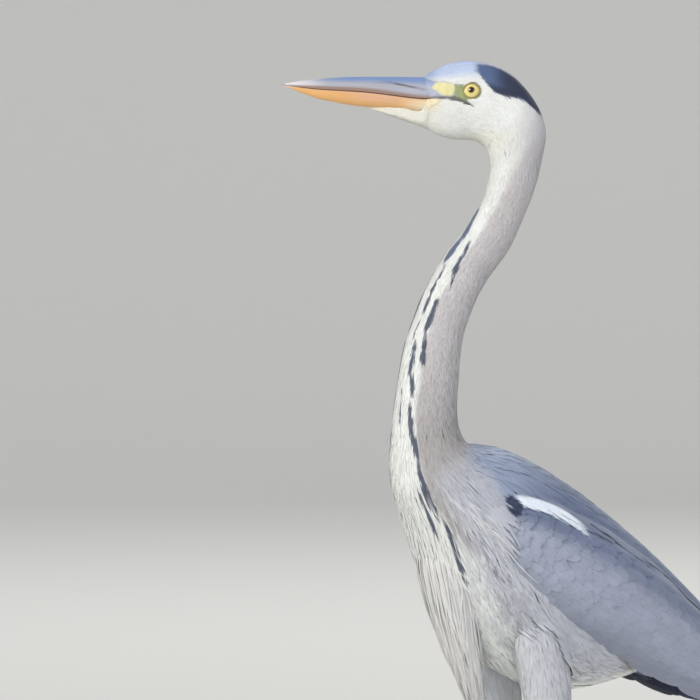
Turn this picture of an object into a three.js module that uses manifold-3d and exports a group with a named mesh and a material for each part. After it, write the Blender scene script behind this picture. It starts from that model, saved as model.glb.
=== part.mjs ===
// Grey heron, life size, standing upright on both feet with its neck raised and
// its head turned about forty degrees to its own right.
//
// Millimetres, +Z up. The bird faces -Y, so its left side is +X.
// A point of the body is worked out on a straight bird, as (left, ahead, up), and
// the turn of the neck is added last, as a rotation about a vertical axis that
// grows with height. The solids are the outer shape of the plumage.
import * as THREE from "three";
import { mergeVertices } from "three/addons/utils/BufferGeometryUtils.js";
import Module from "manifold-3d";

const wasm = await Module();
wasm.setup();

// ---- driving dimensions ----------------------------------------------------
const GAP = 0.3; // parting between neighbouring pieces
const HEAD_TURN = THREE.MathUtils.degToRad(39); // how far the head looks to its right
const TURN_FROM = 680; // height where the neck starts to turn
const TURN_TO = 830; // height where the turn is complete
const CULMEN = 121; // bill, from the forehead feathers to its tip
const EYE = { ahead: 7.3, up: 877.5, left: 9.3, radius: 9 };
const TARSUS = 152; // ankle to foot
const TOE_SPREAD = { inner: -25, middle: 0, outer: 30, hind: 172 }; // degrees from straight ahead
const TOE_LENGTH = { inner: 62, middle: 84, outer: 70, hind: 44 }; // without the claw
const TOE_JOINTS = { inner: 2, middle: 3, outer: 4, hind: 1.5 }; // pads under each toe
const TOE = { root: 4.6, taper: 1.7, pad: 0.45, axis: 0.9 }; // radii; height of the axis, in radii
const CLAW_LENGTH = { inner: 14, middle: 14, outer: 12, hind: 20 };
const CLAW = { root: 2.3, tip: 0.35, narrow: 0.7, drop: 3.4, arch: 1.6 }; // radii; its curve downwards
const KNUCKLE = { radius: 7.6, up: 8.2 }; // where the toes meet
const STUB = 17; // the part of each toe that belongs to the foot
const LEG_SIDE = 38; // each foot's distance from the middle plane
const HIP_SIDE = 33; // the same at the top of the thigh
const STEP = { left: 12, right: -14 }; // how far each foot stands ahead of the hips' line
const HIP_AHEAD = -52; // hips, from the base of the neck
const ANKLE_UP = 170;
const HIP_UP = 370; // a leg leans outwards and steps between these two heights
const BILL_SHAPE = { parting: 0.15, least: 0.35, pinch: 0.18, round: 0.9 }; // arch of each half
const TAIL = { half: 12, spread: 6, thick: 3.2, thin: 1.6, droop: 0.006, end: 0.9, close: 0.35 };
const WING_CLEAR = 1.2; // least distance of a wing from the middle plane

const FEATHER_GREY = 0xa3a9b8;
const NECK_GREY = 0xc2bfc2;
const WHITE_PLUMAGE = 0xe9ecf0;
const SLATE = 0x3b455c;
const LEG_HORN = 0x8a7f5e;
const CLAW_HORN = 0x3a342c;
const UPPER_HORN = 0x8d8f94;
const LOWER_HORN = 0xe2a55c;
const IRIS = 0xe6cf4a;

// ---- outline of the straight bird -------------------------------------------
// Each station is one section across the body, from chin to tail:
// back line (ahead, up), front line (ahead, up), half width, and how much fuller
// the section is towards its front line.
const STATIONS = [
  [96.5, 866.2, 96.3, 865.2, 0.8, 0], // tip of the chin feathers
  [82, 864.4, 82, 859.8, 3.6, 0],
  [66, 862.6, 66, 854.6, 5.8, 0],
  [50, 861.2, 50, 848.8, 8.0, 0], // chin under the base of the bill
  [47.5, 892.6, 43, 845.4, 9.6, 0.1], // forehead feathers meet the culmen
  [38, 898.4, 33, 841.0, 12.4, 0.2],
  [26, 903.2, 22, 838.4, 14.6, 0.25],
  [11, 905.4, 11, 838.0, 16.2, 0.25], // eye
  [-3, 904.4, 3, 836.0, 18.2, 0.2],
  [-13.8, 901.2, -3, 832.6, 19.6, 0.12],
  [-28.4, 892.4, -6.8, 828.0, 20.4, 0.06], // nape
  [-42.5, 877.0, -8.2, 822.6, 20.6, 0],
  [-51.8, 861.0, -8.6, 816.6, 20.2, 0],
  [-56.2, 843.0, -8.4, 811.0, 19.6, 0], // head meets neck
  [-53.0, 822.0, -7.6, 806.0, 18.8, 0],
  [-47.5, 798.0, -5.2, 795.0, 18.0, 0],
  [-38.0, 771.5, -0.4, 783.0, 17.8, 0],
  [-24.5, 742.0, 14.5, 760.0, 18.2, 0], // kink of the neck
  [-3.0, 716.5, 33.0, 739.0, 19.0, 0],
  [11.5, 697.0, 51.0, 715.5, 19.8, 0],
  [23.5, 673.5, 65.0, 694.5, 20.4, 0],
  [27.6, 655.0, 79.0, 665.0, 21.2, 0],
  [30.0, 634.0, 85.0, 638.0, 22.6, 0],
  [33.0, 610.0, 90.0, 606.0, 25.0, 0],
  [31.5, 593.0, 91.4, 582.0, 28.4, 0],
  [26.0, 583.0, 90.5, 559.0, 33.4, 0], // base of the neck
  [16.5, 578.8, 84.0, 534.0, 39.6, 0.04],
  [1.0, 577.4, 70.5, 505.0, 45.6, 0.08],
  [-20.0, 573.6, 55.5, 472.0, 50.6, 0.1], // shoulders
  [-47.0, 563.6, 36.0, 436.0, 54.0, 0.1],
  [-77.0, 549.4, 8.0, 403.0, 55.0, 0.06],
  [-109.0, 531.8, -26.0, 378.0, 53.4, 0.02], // deepest part of the belly
  [-143.0, 510.6, -68.0, 362.0, 49.6, 0],
  [-177.0, 487.6, -112.0, 359.0, 44.0, -0.04],
  [-210.0, 463.6, -156.0, 364.0, 36.6, -0.04],
  [-240.0, 440.6, -200.0, 373.0, 28.0, 0],
  [-266.0, 419.6, -240.0, 376.0, 19.0, 0],
  [-281.0, 405.0, -268.0, 376.0, 9.0, 0], // tip of the tail coverts
];
const LAST = STATIONS.length - 1;
const HEAD_END = 13;
const NECK_CUTS = [17, 21, 25]; // ends of the three lengths of neck

// Catmull-Rom value of every column of a table at row t.
function along(rows, t) {
  const i = Math.min(Math.max(Math.floor(t), 0), rows.length - 2);
  const u = t - i;
  const row = (k) => rows[Math.min(Math.max(k, 0), rows.length - 1)];
  const [a, b, c, d] = [row(i - 1), row(i), row(i + 1), row(i + 2)];
  return b.map(
    (_, k) =>
      0.5 *
      (2 * b[k] +
        (c[k] - a[k]) * u +
        (2 * a[k] - 5 * b[k] + 4 * c[k] - d[k]) * u * u +
        (3 * b[k] - a[k] - 3 * c[k] + d[k]) * u * u * u),
  );
}

const smooth = (t) => {
  const c = Math.min(Math.max(t, 0), 1);
  return c * c * (3 - 2 * c);
};

// A point of the straight bird becomes a point of the part, with the neck's turn.
function placed(left, ahead, up) {
  const turn = HEAD_TURN * smooth((up - TURN_FROM) / (TURN_TO - TURN_FROM));
  const [c, s] = [Math.cos(turn), Math.sin(turn)];
  return new THREE.Vector3(left * c - ahead * s, -left * s - ahead * c, up);
}

// Section of the body at station t: an egg-shaped ring, `grow` wider all round.
function bodyRing(t, grow = 0, sides = 20) {
  const [da, du, fa, fu, half, full] = along(STATIONS, t);
  const [ca, cu] = [(da + fa) / 2, (du + fu) / 2];
  const depth = Math.hypot(da - fa, du - fu) / 2;
  const [ua, uu] = [(da - fa) / 2 / depth, (du - fu) / 2 / depth];
  return Array.from({ length: sides }, (_, k) => {
    const angle = (2 * Math.PI * k) / sides;
    const out = (depth + grow) * Math.cos(angle);
    const side = (half + grow) * Math.sin(angle) * (1 - full * Math.cos(angle));
    return placed(side, ca + ua * out, cu + uu * out);
  });
}

// Closed surface through rings of equal length, with a fan over each end.
function loft(rings) {
  const sides = rings[0].length;
  const points = rings.flat();
  const faces = [];
  for (let r = 0; r + 1 < rings.length; r++)
    for (let k = 0; k < sides; k++) {
      const n = (k + 1) % sides;
      const [a, b] = [r * sides + k, r * sides + n];
      faces.push(a, b, a + sides, b, b + sides, a + sides);
    }
  [rings[0], rings[rings.length - 1]].forEach((ring, end) => {
    const centre = ring
      .reduce((sum, p) => sum.add(p), new THREE.Vector3())
      .divideScalar(sides);
    const start = end * (rings.length - 1) * sides;
    for (let k = 0; k < sides; k++) {
      const [a, b] = [start + k, start + ((k + 1) % sides)];
      faces.push(...(end ? [a, b, points.length] : [b, a, points.length]));
    }
    points.push(centre);
  });
  const geometry = new THREE.BufferGeometry().setFromPoints(points);
  geometry.setIndex(faces);
  return facingOut(geometry);
}

// Turns every face round if the surface is inside out.
function facingOut(geometry) {
  const [p, index] = [geometry.attributes.position, geometry.index.array];
  const corner = (i) => new THREE.Vector3().fromBufferAttribute(p, index[i]);
  let volume = 0;
  for (let i = 0; i < index.length; i += 3)
    volume += corner(i).dot(corner(i + 1).cross(corner(i + 2)));
  if (volume < 0)
    for (let i = 0; i < index.length; i += 3)
      [index[i + 1], index[i + 2]] = [index[i + 2], index[i + 1]];
  return geometry;
}

const steps = (from, to, count) =>
  Array.from({ length: count + 1 }, (_, i) => from + ((to - from) * i) / count);

// Angles of `sides` points round a section.
const around = (sides) => steps(0, 2 * Math.PI, sides).slice(0, sides);

const body = (from, to, count, grow = 0, sides = 20) =>
  loft(steps(from, to, count).map((t) => bodyRing(t, grow, sides)));

// ---- solids to cut and join --------------------------------------------------
function solid(geometry) {
  const bare = geometry.clone();
  bare.deleteAttribute("normal");
  bare.deleteAttribute("uv");
  const merged = mergeVertices(bare, 1e-4);
  return new wasm.Manifold(
    new wasm.Mesh({
      numProp: 3,
      vertProperties: merged.attributes.position.array,
      triVerts: new Uint32Array(merged.index.array),
    }),
  );
}

function surface(manifold) {
  const mesh = manifold.getMesh();
  const geometry = new THREE.BufferGeometry();
  geometry.setAttribute(
    "position",
    new THREE.BufferAttribute(mesh.vertProperties, 3),
  );
  geometry.setIndex(new THREE.BufferAttribute(mesh.triVerts, 1));
  return geometry;
}

const bird = new THREE.Group();

function add(name, geometry, colour, roughness = 0.8) {
  geometry.computeVertexNormals();
  const material = new THREE.MeshStandardMaterial({
    color: colour,
    roughness,
    metalness: 0,
    flatShading: true,
  });
  const mesh = new THREE.Mesh(geometry, material);
  mesh.name = name;
  bird.add(mesh);
}

// ---- bill ---------------------------------------------------------------------
// Rows run from the base to the tip: ahead, culmen, edge of the mouth, gonys, half width.
const BILL = [
  [48.6, 891.6, 872.8, 861.4, 9.4],
  [66, 891.8, 874.6, 863.0, 8.9],
  [84, 891.9, 877.0, 864.8, 8.2],
  [98, 891.9, 878.6, 866.0, 7.5],
  [112, 891.7, 879.6, 867.8, 6.6],
  [126, 891.0, 880.4, 870.4, 5.5],
  [140, 890.0, 881.3, 873.6, 4.2],
  [154, 888.4, 882.9, 878.4, 2.6],
  [164, 886.8, 884.4, 882.4, 1.3],
  [48.6 + CULMEN - 0.6, 885.7, 885.0, 884.2, 0.6],
];

// One half of the bill: an arch between its ridge line and the edge of the mouth.
function mandible(ridge, sign) {
  const arch = steps(0, Math.PI, 10);
  const rings = steps(0, BILL.length - 1, 14).map((t) => {
    const row = along(BILL, t);
    const edge = row[2] + sign * BILL_SHAPE.parting;
    const depth = Math.max(Math.abs(row[ridge] - edge), BILL_SHAPE.least) * sign;
    return arch.map((angle) =>
      placed(
        row[4] * Math.cos(angle) * (1 - BILL_SHAPE.pinch * Math.sin(angle)),
        row[0],
        edge + depth * Math.sin(angle) ** BILL_SHAPE.round,
      ),
    );
  });
  return loft(rings);
}
const chin = solid(body(0, 3.9, 6, GAP, 14));
add("bill_upper", mandible(1, 1), UPPER_HORN, 0.35);
add(
  "bill_lower",
  surface(solid(mandible(3, -1)).subtract(chin)),
  LOWER_HORN,
  0.4,
);

// ---- head and eyes --------------------------------------------------------------
function eyeball(side, grow) {
  const ball = new THREE.SphereGeometry(EYE.radius + grow, 12, 8);
  ball.rotateZ(Math.PI / 2);
  const at = placed(side * EYE.left, EYE.ahead, EYE.up);
  return ball.translate(at.x, at.y, at.z);
}
const sockets = [1, -1].map((side) => solid(eyeball(side, GAP)));
const skull = solid(body(0, HEAD_END, 20));
const billRoot = solid(
  loft(
    [48.2, 60].map((ahead) =>
      [
        [-14, 895],
        [-14, 861.3],
        [14, 861.3],
        [14, 895],
      ].map(([side, up]) => placed(side, ahead, up)),
    ),
  ),
);
add(
  "head",
  surface(sockets.reduce((rest, ball) => rest.subtract(ball), skull.subtract(billRoot))),
  WHITE_PLUMAGE,
);
add("eye_left", eyeball(1, 0), IRIS, 0.1);
add("eye_right", eyeball(-1, 0), IRIS, 0.1);

// ---- neck -------------------------------------------------------------------------
// A parting is as thick as GAP where it is thinnest: the part of a station it takes.
const PARTING = 0.022;
["neck_upper", "neck_middle", "neck_lower"].forEach((name, i) => {
  const from = (i ? NECK_CUTS[i - 1] : HEAD_END) + PARTING;
  add(name, body(from, NECK_CUTS[i], 6), NECK_GREY);
});

// ---- trunk --------------------------------------------------------------------------
const TRUNK_FROM = NECK_CUTS[2] + PARTING;
const trunkWith = (grow) => body(TRUNK_FROM, LAST, 16, grow);
add("trunk", trunkWith(0), FEATHER_GREY);
const trunkRoom = solid(trunkWith(GAP));
const neckRoom = solid(body(NECK_CUTS[1] + PARTING, NECK_CUTS[2], 6, GAP));

// ---- wings ----------------------------------------------------------------------------
// The folded wing lies along a line from its bend to its tip.
const WING_BEND = [30, 521];
const WING_TIP = [-376, 318];
// Rows from bend to tip: share of the length, height of the upper and lower edge
// over that line, distance of both edges from the middle plane, bulge, thickness.
const WING = [
  [0.0, 6, -6, 44, 44, 4, 6],
  [0.015, 17, -17, 44, 43, 8, 9],
  [0.06, 31, -31, 43, 45, 14, 14],
  [0.15, 43, -42, 38, 47, 20, 18],
  [0.3, 50, -48, 29, 47, 27, 20],
  [0.45, 50, -47, 20, 41, 27, 18],
  [0.6, 43, -42, 9, 33, 23, 14],
  [0.75, 31, -32, 3.4, 27, 16, 9],
  [0.88, 19, -21, 3.2, 22, 9, 5],
  [0.96, 10, -12, 3.2, 17, 5, 3],
  [1.0, 4, -5, 3.2, 12, 2, 1.6],
];
function wingRing(t) {
  const [share, over, under, top, foot, bulge, thick] = along(WING, t);
  const [ra, ru] = [WING_TIP[0] - WING_BEND[0], WING_TIP[1] - WING_BEND[1]];
  const length = Math.hypot(ra, ru);
  const [ea, eu] = [ru / length, -ra / length];
  const at = (q, inward) => {
    const height = under + (over - under) * q;
    const hump = 1 - Math.abs(2 * q - 1) ** 3;
    const out = foot + (top - foot) * q + bulge * hump - inward * (0.25 + 0.75 * hump);
    return [
      Math.max(out, WING_CLEAR),
      WING_BEND[0] + ra * share + ea * height,
      WING_BEND[1] + ru * share + eu * height,
    ];
  };
  const outer = steps(0, 1, 8).map((q) => at(q, 0));
  const inner = steps(1, 0, 4).map((q) => at(q, thick));
  return [...outer, ...inner];
}
function wing(side) {
  const rings = steps(0, WING.length - 1, 14).map((t) =>
    wingRing(t).map(([left, ahead, up]) => placed(side * left, ahead, up)),
  );
  return loft(rings);
}

// ---- breast plumes ------------------------------------------------------------------
// Long loose feathers that hang from the breast in front of the belly.
// Rows: front edge (ahead), up, half depth, half width.
const PLUMES = [
  [64, 506, 12, 20],
  [61, 480, 18, 28],
  [55, 455, 21, 29],
  [46, 428, 20, 26],
  [35, 402, 16, 21],
  [22, 376, 12, 15],
  [12, 354, 8, 10],
  [4, 334, 3.4, 4.6],
  [1, 326, 1.2, 1.6],
];
function plumes(grow) {
  const rings = steps(0, PLUMES.length - 1, 10).map((t) => {
    const [front, up, deep, wide] = along(PLUMES, t);
    return around(16).map((angle) =>
      placed(
        (wide + grow) * Math.sin(angle),
        front - deep + (deep + grow) * Math.cos(angle),
        up,
      ),
    );
  });
  return loft(rings);
}

// ---- tail -------------------------------------------------------------------------------
const TAIL_ROOT = [-214, 402];
const TAIL_TIP = [-373, 314];
function tail(grow) {
  const rings = steps(0, 1, 8).map((t) => {
    const past = Math.max(t - TAIL.end, 0) / (1 - TAIL.end);
    const half = (TAIL.half + TAIL.spread * t) * (1 - TAIL.close * past) + grow;
    const thick = TAIL.thick - TAIL.thin * t + grow;
    return around(16).map((angle) => {
      const left = half * Math.cos(angle);
      const droop = TAIL.droop * left * left;
      return placed(
        left,
        TAIL_ROOT[0] + (TAIL_TIP[0] - TAIL_ROOT[0]) * t + (thick / 2) * Math.sin(angle),
        TAIL_ROOT[1] + (TAIL_TIP[1] - TAIL_ROOT[1]) * t + thick * Math.sin(angle) - droop,
      );
    });
  });
  return loft(rings);
}

// ---- legs -----------------------------------------------------------------------------
// A limb is a loft through its rows, and leans outwards from hip to ankle.
const side = { left: 1, right: -1 };
// Rows from the belly to the foot: ahead of the foot, up, radius along and across.
const THIGH = [
  [17, 438, 8, 5],
  [16.5, 430, 22, 13],
  [15, 414, 31, 21],
  [10, 392, 31, 23],
  [4, 364, 28, 21],
  [-2, 336, 23, 18],
  [-7, 308, 17.5, 14.5],
  [-11, 282, 12.5, 11],
  [-14, 258, 8.6, 8],
  [-15.6, 244, 6, 5.6],
];
const SHIN = [
  [-15.6, 243.7, 4.9, 4.4],
  [-17.4, 222, 4.3, 3.9],
  [-19.6, 196, 4.5, 4.1],
  [-21, 180, 6.0, 5.2],
  [-21, 170, 7.0, 6.0],
];
const SHANK = [
  [-21, 169.7, 7.0, 6.0],
  [-19.6, 158, 6.0, 5.2],
  [-16.6, 140, 4.6, 3.9],
  [-11.6, 96, 4.1, 3.5],
  [-6, 50, 4.2, 3.6],
  [-2, 28, 5.2, 4.6],
  [0, 16.3, 6.6, 6.6],
];
function limb(rows, which, sides, count, grow = 0) {
  const foot = HIP_AHEAD + STEP[which];
  const rings = steps(0, rows.length - 1, count).map((t) => {
    const [ahead, up, deep, wide] = along(rows, t);
    const reach = THREE.MathUtils.clamp((up - ANKLE_UP) / (HIP_UP - ANKLE_UP), 0, 1);
    const hip = foot + (HIP_AHEAD - foot) * reach; // the step is taken up by the thigh
    const out = side[which] * (LEG_SIDE + (HIP_SIDE - LEG_SIDE) * reach);
    return around(sides).map((angle) =>
      placed(
        out + (wide + grow) * Math.sin(angle),
        hip + ahead + (deep + grow) * Math.cos(angle),
        up,
      ),
    );
  });
  return loft(rings);
}

// A point of a toe that points `turn` away from straight ahead.
function toePoint(which, turn, distance, across, up) {
  const ahead = distance * Math.cos(turn) - across * Math.sin(turn);
  const left = distance * Math.sin(turn) + across * Math.cos(turn);
  return placed(
    side[which] * LEG_SIDE + left,
    HIP_AHEAD + STEP[which] + ahead,
    up,
  );
}

// A toe from `from` to `to` along its length, with a pad under each joint.
function toe(which, name, from, to, count) {
  const turn = THREE.MathUtils.degToRad(TOE_SPREAD[name]) * side[which];
  const rings = steps(from, to, count).map((distance) => {
    const t = distance / TOE_LENGTH[name];
    const pad = TOE.pad * Math.cos(2 * Math.PI * TOE_JOINTS[name] * t);
    const thick = TOE.root - TOE.taper * t + pad;
    return around(8).map((angle) => {
      const across = thick * Math.sin(angle);
      const up = Math.max(thick * TOE.axis + thick * Math.cos(angle), 0);
      return toePoint(which, turn, distance, across, up);
    });
  });
  return loft(rings);
}

// A claw that curves down to the floor from the end of its toe.
function claw(which, name) {
  const turn = THREE.MathUtils.degToRad(TOE_SPREAD[name]) * side[which];
  const root = TOE_LENGTH[name] + GAP;
  const rings = steps(0, 1, 5).map((t) => {
    const thick = CLAW.root * (1 - t) ** 0.8 + CLAW.tip;
    const rise = CLAW.drop * (1 - t) + CLAW.arch * Math.sin(Math.PI * t);
    return around(6).map((angle) =>
      toePoint(
        which,
        turn,
        root + CLAW_LENGTH[name] * t,
        thick * CLAW.narrow * Math.sin(angle),
        Math.max(rise + thick * Math.cos(angle), 0),
      ),
    );
  });
  return loft(rings);
}

add("breast_plumes", surface(solid(plumes(0)).subtract(trunkRoom)), WHITE_PLUMAGE);

const thighRooms = [];
for (const which of ["left", "right"]) {
  const thigh = solid(limb(THIGH, which, 14, 9)).subtract(trunkRoom);
  thighRooms.push(solid(limb(THIGH, which, 14, 9, GAP)));
  add(`thigh_${which}`, surface(thigh), WHITE_PLUMAGE);
  add(`shin_${which}`, limb(SHIN, which, 10, 6), LEG_HORN, 0.6);
  add(`shank_${which}`, limb(SHANK, which, 10, 8), LEG_HORN, 0.6);
  const knuckle = new THREE.SphereGeometry(KNUCKLE.radius, 8, 6);
  const at = toePoint(which, 0, 0, 0, KNUCKLE.up);
  knuckle.translate(at.x, at.y, at.z);
  const names = Object.keys(TOE_SPREAD);
  const foot = names.reduce(
    (joined, name) => joined.add(solid(toe(which, name, 1, STUB - GAP, 2))),
    solid(knuckle),
  );
  add(`foot_${which}`, surface(foot), LEG_HORN, 0.6);
  for (const name of names) {
    add(`toe_${name}_${which}`, toe(which, name, STUB, TOE_LENGTH[name], 7), LEG_HORN, 0.6);
    add(`claw_${name}_${which}`, claw(which, name), CLAW_HORN, 0.4);
  }
}

const tailRoom = solid(tail(GAP));
add("tail", surface(solid(tail(0)).subtract(trunkRoom)), FEATHER_GREY);
for (const which of ["left", "right"]) {
  const rest = [trunkRoom, neckRoom, tailRoom, ...thighRooms].reduce(
    (left, room) => left.subtract(room),
    solid(wing(side[which])),
  );
  const pieces = rest.decompose().sort((a, b) => b.volume() - a.volume());
  add(`wing_${which}`, surface(pieces[0]), FEATHER_GREY);
}

// ---- frame: the floor is z = 0, and x and y are centred on the whole bird ------------
const box = new THREE.Box3().setFromObject(bird);
const middle = box.getCenter(new THREE.Vector3());
bird.position.set(-middle.x, -middle.y, -box.min.z);

export default bird;
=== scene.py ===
"""A grey heron at life size, still, standing with its neck raised and its head turned to its right.

The bird is worked out straight, in millimetres, as (left, ahead, up); `placed` adds the
turn of the neck and puts the result where the solids of the frame are.
"""

import math

import bpy
import numpy as np
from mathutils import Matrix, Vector


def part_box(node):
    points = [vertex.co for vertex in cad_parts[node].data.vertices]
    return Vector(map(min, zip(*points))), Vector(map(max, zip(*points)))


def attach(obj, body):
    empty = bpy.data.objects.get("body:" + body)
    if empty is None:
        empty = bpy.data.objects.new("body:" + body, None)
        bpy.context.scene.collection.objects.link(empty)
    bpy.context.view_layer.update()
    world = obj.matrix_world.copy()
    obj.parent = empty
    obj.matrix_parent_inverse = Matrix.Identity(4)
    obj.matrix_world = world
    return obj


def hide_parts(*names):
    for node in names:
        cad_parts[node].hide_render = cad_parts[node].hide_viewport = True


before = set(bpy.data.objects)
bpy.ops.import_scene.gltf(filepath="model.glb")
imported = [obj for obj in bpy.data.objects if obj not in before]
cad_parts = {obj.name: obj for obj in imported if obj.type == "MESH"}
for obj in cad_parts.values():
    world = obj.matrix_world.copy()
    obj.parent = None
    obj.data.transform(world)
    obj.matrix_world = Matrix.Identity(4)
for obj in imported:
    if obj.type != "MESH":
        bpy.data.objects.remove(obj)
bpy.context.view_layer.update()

# ---- sizes in millimetres, angles in degrees -------------------------------------------
HEAD_TURN = 39.0
TURN_FROM = 680.0
TURN_TO = 830.0
EYE_AHEAD, EYE_UP, EYE_LEFT, EYE_RADIUS = 7.3, 877.5, 9.3, 9.0
EYE_OPENING = 5.9, 5.6  # half length and half height of the opening between the lids
LEG_SIDE, HIP_SIDE, HIP_AHEAD = 38.0, 33.0, -52.0
ANKLE_UP, HIP_UP = 170.0, 370.0  # a leg leans and steps between these two heights
THIGH_TOP = 440.0
STEP = {"left": 12.0, "right": -14.0}
TOE_SPREAD = {"inner": -25, "middle": 0, "outer": 30, "hind": 172}
TOE_LENGTH = {"inner": 62, "middle": 84, "outer": 70, "hind": 44}
TOE_JOINTS = {"inner": 2, "middle": 3, "outer": 4, "hind": 1.5}
CLAW_LENGTH = {"inner": 14, "middle": 14, "outer": 12, "hind": 20}
LEG_SCUTE, TOE_SCUTE = 5.2, 3.1  # distance from one scute to the next
FOOT_BALL = 7.4  # radius
SIDES = {"left": 1.0, "right": -1.0}

# Sections from chin to tail: back line (ahead, up), front line (ahead, up), half width,
# and how much fuller the section is towards its front line.
STATIONS = np.array([
    [96.5, 866.2, 96.3, 865.2, 0.8, 0],
    [82, 864.4, 82, 859.8, 3.6, 0],
    [66, 862.6, 66, 854.6, 5.8, 0],
    [50, 861.2, 50, 848.8, 8.0, 0],
    [47.5, 892.6, 43, 845.4, 9.6, 0.1],
    [38, 898.4, 33, 841.0, 12.4, 0.2],
    [26, 903.2, 22, 838.4, 14.6, 0.25],
    [11, 905.4, 11, 838.0, 16.2, 0.25],
    [-3, 904.4, 3, 836.0, 18.2, 0.2],
    [-13.8, 901.2, -3, 832.6, 19.6, 0.12],
    [-28.4, 892.4, -6.8, 828.0, 20.4, 0.06],
    [-42.5, 877.0, -8.2, 822.6, 20.6, 0],
    [-51.8, 861.0, -8.6, 816.6, 20.2, 0],
    [-56.2, 843.0, -8.4, 811.0, 19.6, 0],
    [-53.0, 822.0, -7.6, 806.0, 18.8, 0],
    [-47.5, 798.0, -5.2, 795.0, 18.0, 0],
    [-38.0, 771.5, -0.4, 783.0, 17.8, 0],
    [-24.5, 742.0, 14.5, 760.0, 18.2, 0],
    [-3.0, 716.5, 33.0, 739.0, 19.0, 0],
    [11.5, 697.0, 51.0, 715.5, 19.8, 0],
    [23.5, 673.5, 65.0, 694.5, 20.4, 0],
    [27.6, 655.0, 79.0, 665.0, 21.2, 0],
    [30.0, 634.0, 85.0, 638.0, 22.6, 0],
    [33.0, 610.0, 90.0, 606.0, 25.0, 0],
    [31.5, 593.0, 91.4, 582.0, 28.4, 0],
    [26.0, 583.0, 90.5, 559.0, 33.4, 0],
    [16.5, 578.8, 84.0, 534.0, 39.6, 0.04],
    [1.0, 577.4, 70.5, 505.0, 45.6, 0.08],
    [-20.0, 573.6, 55.5, 472.0, 50.6, 0.1],
    [-47.0, 563.6, 36.0, 436.0, 54.0, 0.1],
    [-77.0, 549.4, 8.0, 403.0, 55.0, 0.06],
    [-109.0, 531.8, -26.0, 378.0, 53.4, 0.02],
    [-143.0, 510.6, -68.0, 362.0, 49.6, 0],
    [-177.0, 487.6, -112.0, 359.0, 44.0, -0.04],
    [-210.0, 463.6, -156.0, 364.0, 36.6, -0.04],
    [-240.0, 440.6, -200.0, 373.0, 28.0, 0],
    [-266.0, 419.6, -240.0, 376.0, 19.0, 0],
    [-281.0, 405.0, -268.0, 376.0, 9.0, 0],
])
LAST = len(STATIONS) - 1.0
CHIN_END = 4  # the station where the chin's wedge meets the head
HEAD_END = 11  # the station behind which nothing is bare

WING_BEND = np.array([30.0, 521.0])
WING_RUN = np.array([-406.0, -203.0])  # from bend to tip
WING_LENGTH = np.hypot(*WING_RUN)
WING_RISE = np.array([WING_RUN[1], -WING_RUN[0]]) / WING_LENGTH  # square to the run, upwards
WING_CLEAR = 1.2  # least distance of a wing from the middle plane
# Rows from bend to tip: share of the length, height of the upper and lower edge over the
# line, distance of both edges from the middle plane, bulge, thickness.
WING = np.array([
    [0.0, 6, -6, 44, 44, 4, 6],
    [0.015, 17, -17, 44, 43, 8, 9],
    [0.06, 31, -31, 43, 45, 14, 14],
    [0.15, 43, -42, 38, 47, 20, 18],
    [0.3, 50, -48, 29, 47, 27, 20],
    [0.45, 50, -47, 20, 41, 27, 18],
    [0.6, 43, -42, 9, 33, 23, 14],
    [0.75, 31, -32, 3.4, 27, 16, 9],
    [0.88, 19, -21, 2.4, 22, 9, 5],
    [0.96, 10, -12, 2.2, 17, 5, 3],
    [1.0, 4, -5, 2.2, 12, 2, 1.6],
])

# Rows from the hip to the foot: ahead of the foot, up, radius along and across.
LEG = np.array([
    [17, 438, 5, 4],
    [16.5, 430, 18, 10],
    [15, 414, 27, 17],
    [10, 392, 27, 19],
    [4, 364, 24, 17],
    [-2, 336, 19, 14.5],
    [-7, 308, 14, 11.5],
    [-11, 282, 9.4, 8],
    [-14, 258, 6.2, 5.4],
    [-15.6, 244, 4.9, 4.4],
    [-17.4, 222, 4.3, 3.9],
    [-19.6, 196, 4.5, 4.1],
    [-21, 181, 5.8, 5.2],
    [-21, 170, 7.0, 6.0],
    [-19.6, 158, 6.0, 5.2],
    [-16.6, 140, 4.6, 3.9],
    [-11.6, 96, 4.1, 3.5],
    [-6, 50, 4.2, 3.6],
    [-2, 28, 5.2, 4.6],
    [0, 13, 6.6, 6.6],
])

trunk_low, trunk_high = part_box("trunk")
ORIGIN = np.array([
    (trunk_low.x + trunk_high.x) * 500.0,
    trunk_high.y * 1000.0 + STATIONS[-1, 0],
    0.0,
])


# ---- curves and surfaces ------------------------------------------------------------------
def spline(rows, t):
    """Catmull-Rom value of every column of `rows` at the row numbers in `t`."""
    t = np.clip(t, 0.0, len(rows) - 1.0)
    i = np.minimum(t.astype(int), len(rows) - 2)
    u = (t - i)[..., None]
    a, b, c, d = (rows[np.clip(i + k, 0, len(rows) - 1)] for k in (-1, 0, 1, 2))
    return 0.5 * (
        2 * b + (c - a) * u + (2 * a - 5 * b + 4 * c - d) * u * u
        + (3 * b - a - 3 * c + d) * u ** 3
    )


def ramp(x, low, high):
    """0 at `low`, 1 at `high`, with a smooth S between them; works both ways round."""
    c = np.clip((x - low) / (high - low), 0.0, 1.0)
    return c * c * (3 - 2 * c)


def wrap(angle):
    """An angle brought between -pi and pi."""
    return (angle + np.pi) % (2 * np.pi) - np.pi


def off_front(phi):
    """Size of an angle from the front line, to either side."""
    return np.abs(wrap(phi))


def turns(count):
    """Angles of evenly spaced points round a section."""
    return np.linspace(0, 2 * np.pi, count, endpoint=False)


def turned(up):
    """Cosine and sine of the neck's turn at a height."""
    turn = math.radians(HEAD_TURN) * ramp(up, TURN_FROM, TURN_TO)
    return np.cos(turn), np.sin(turn)


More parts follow.
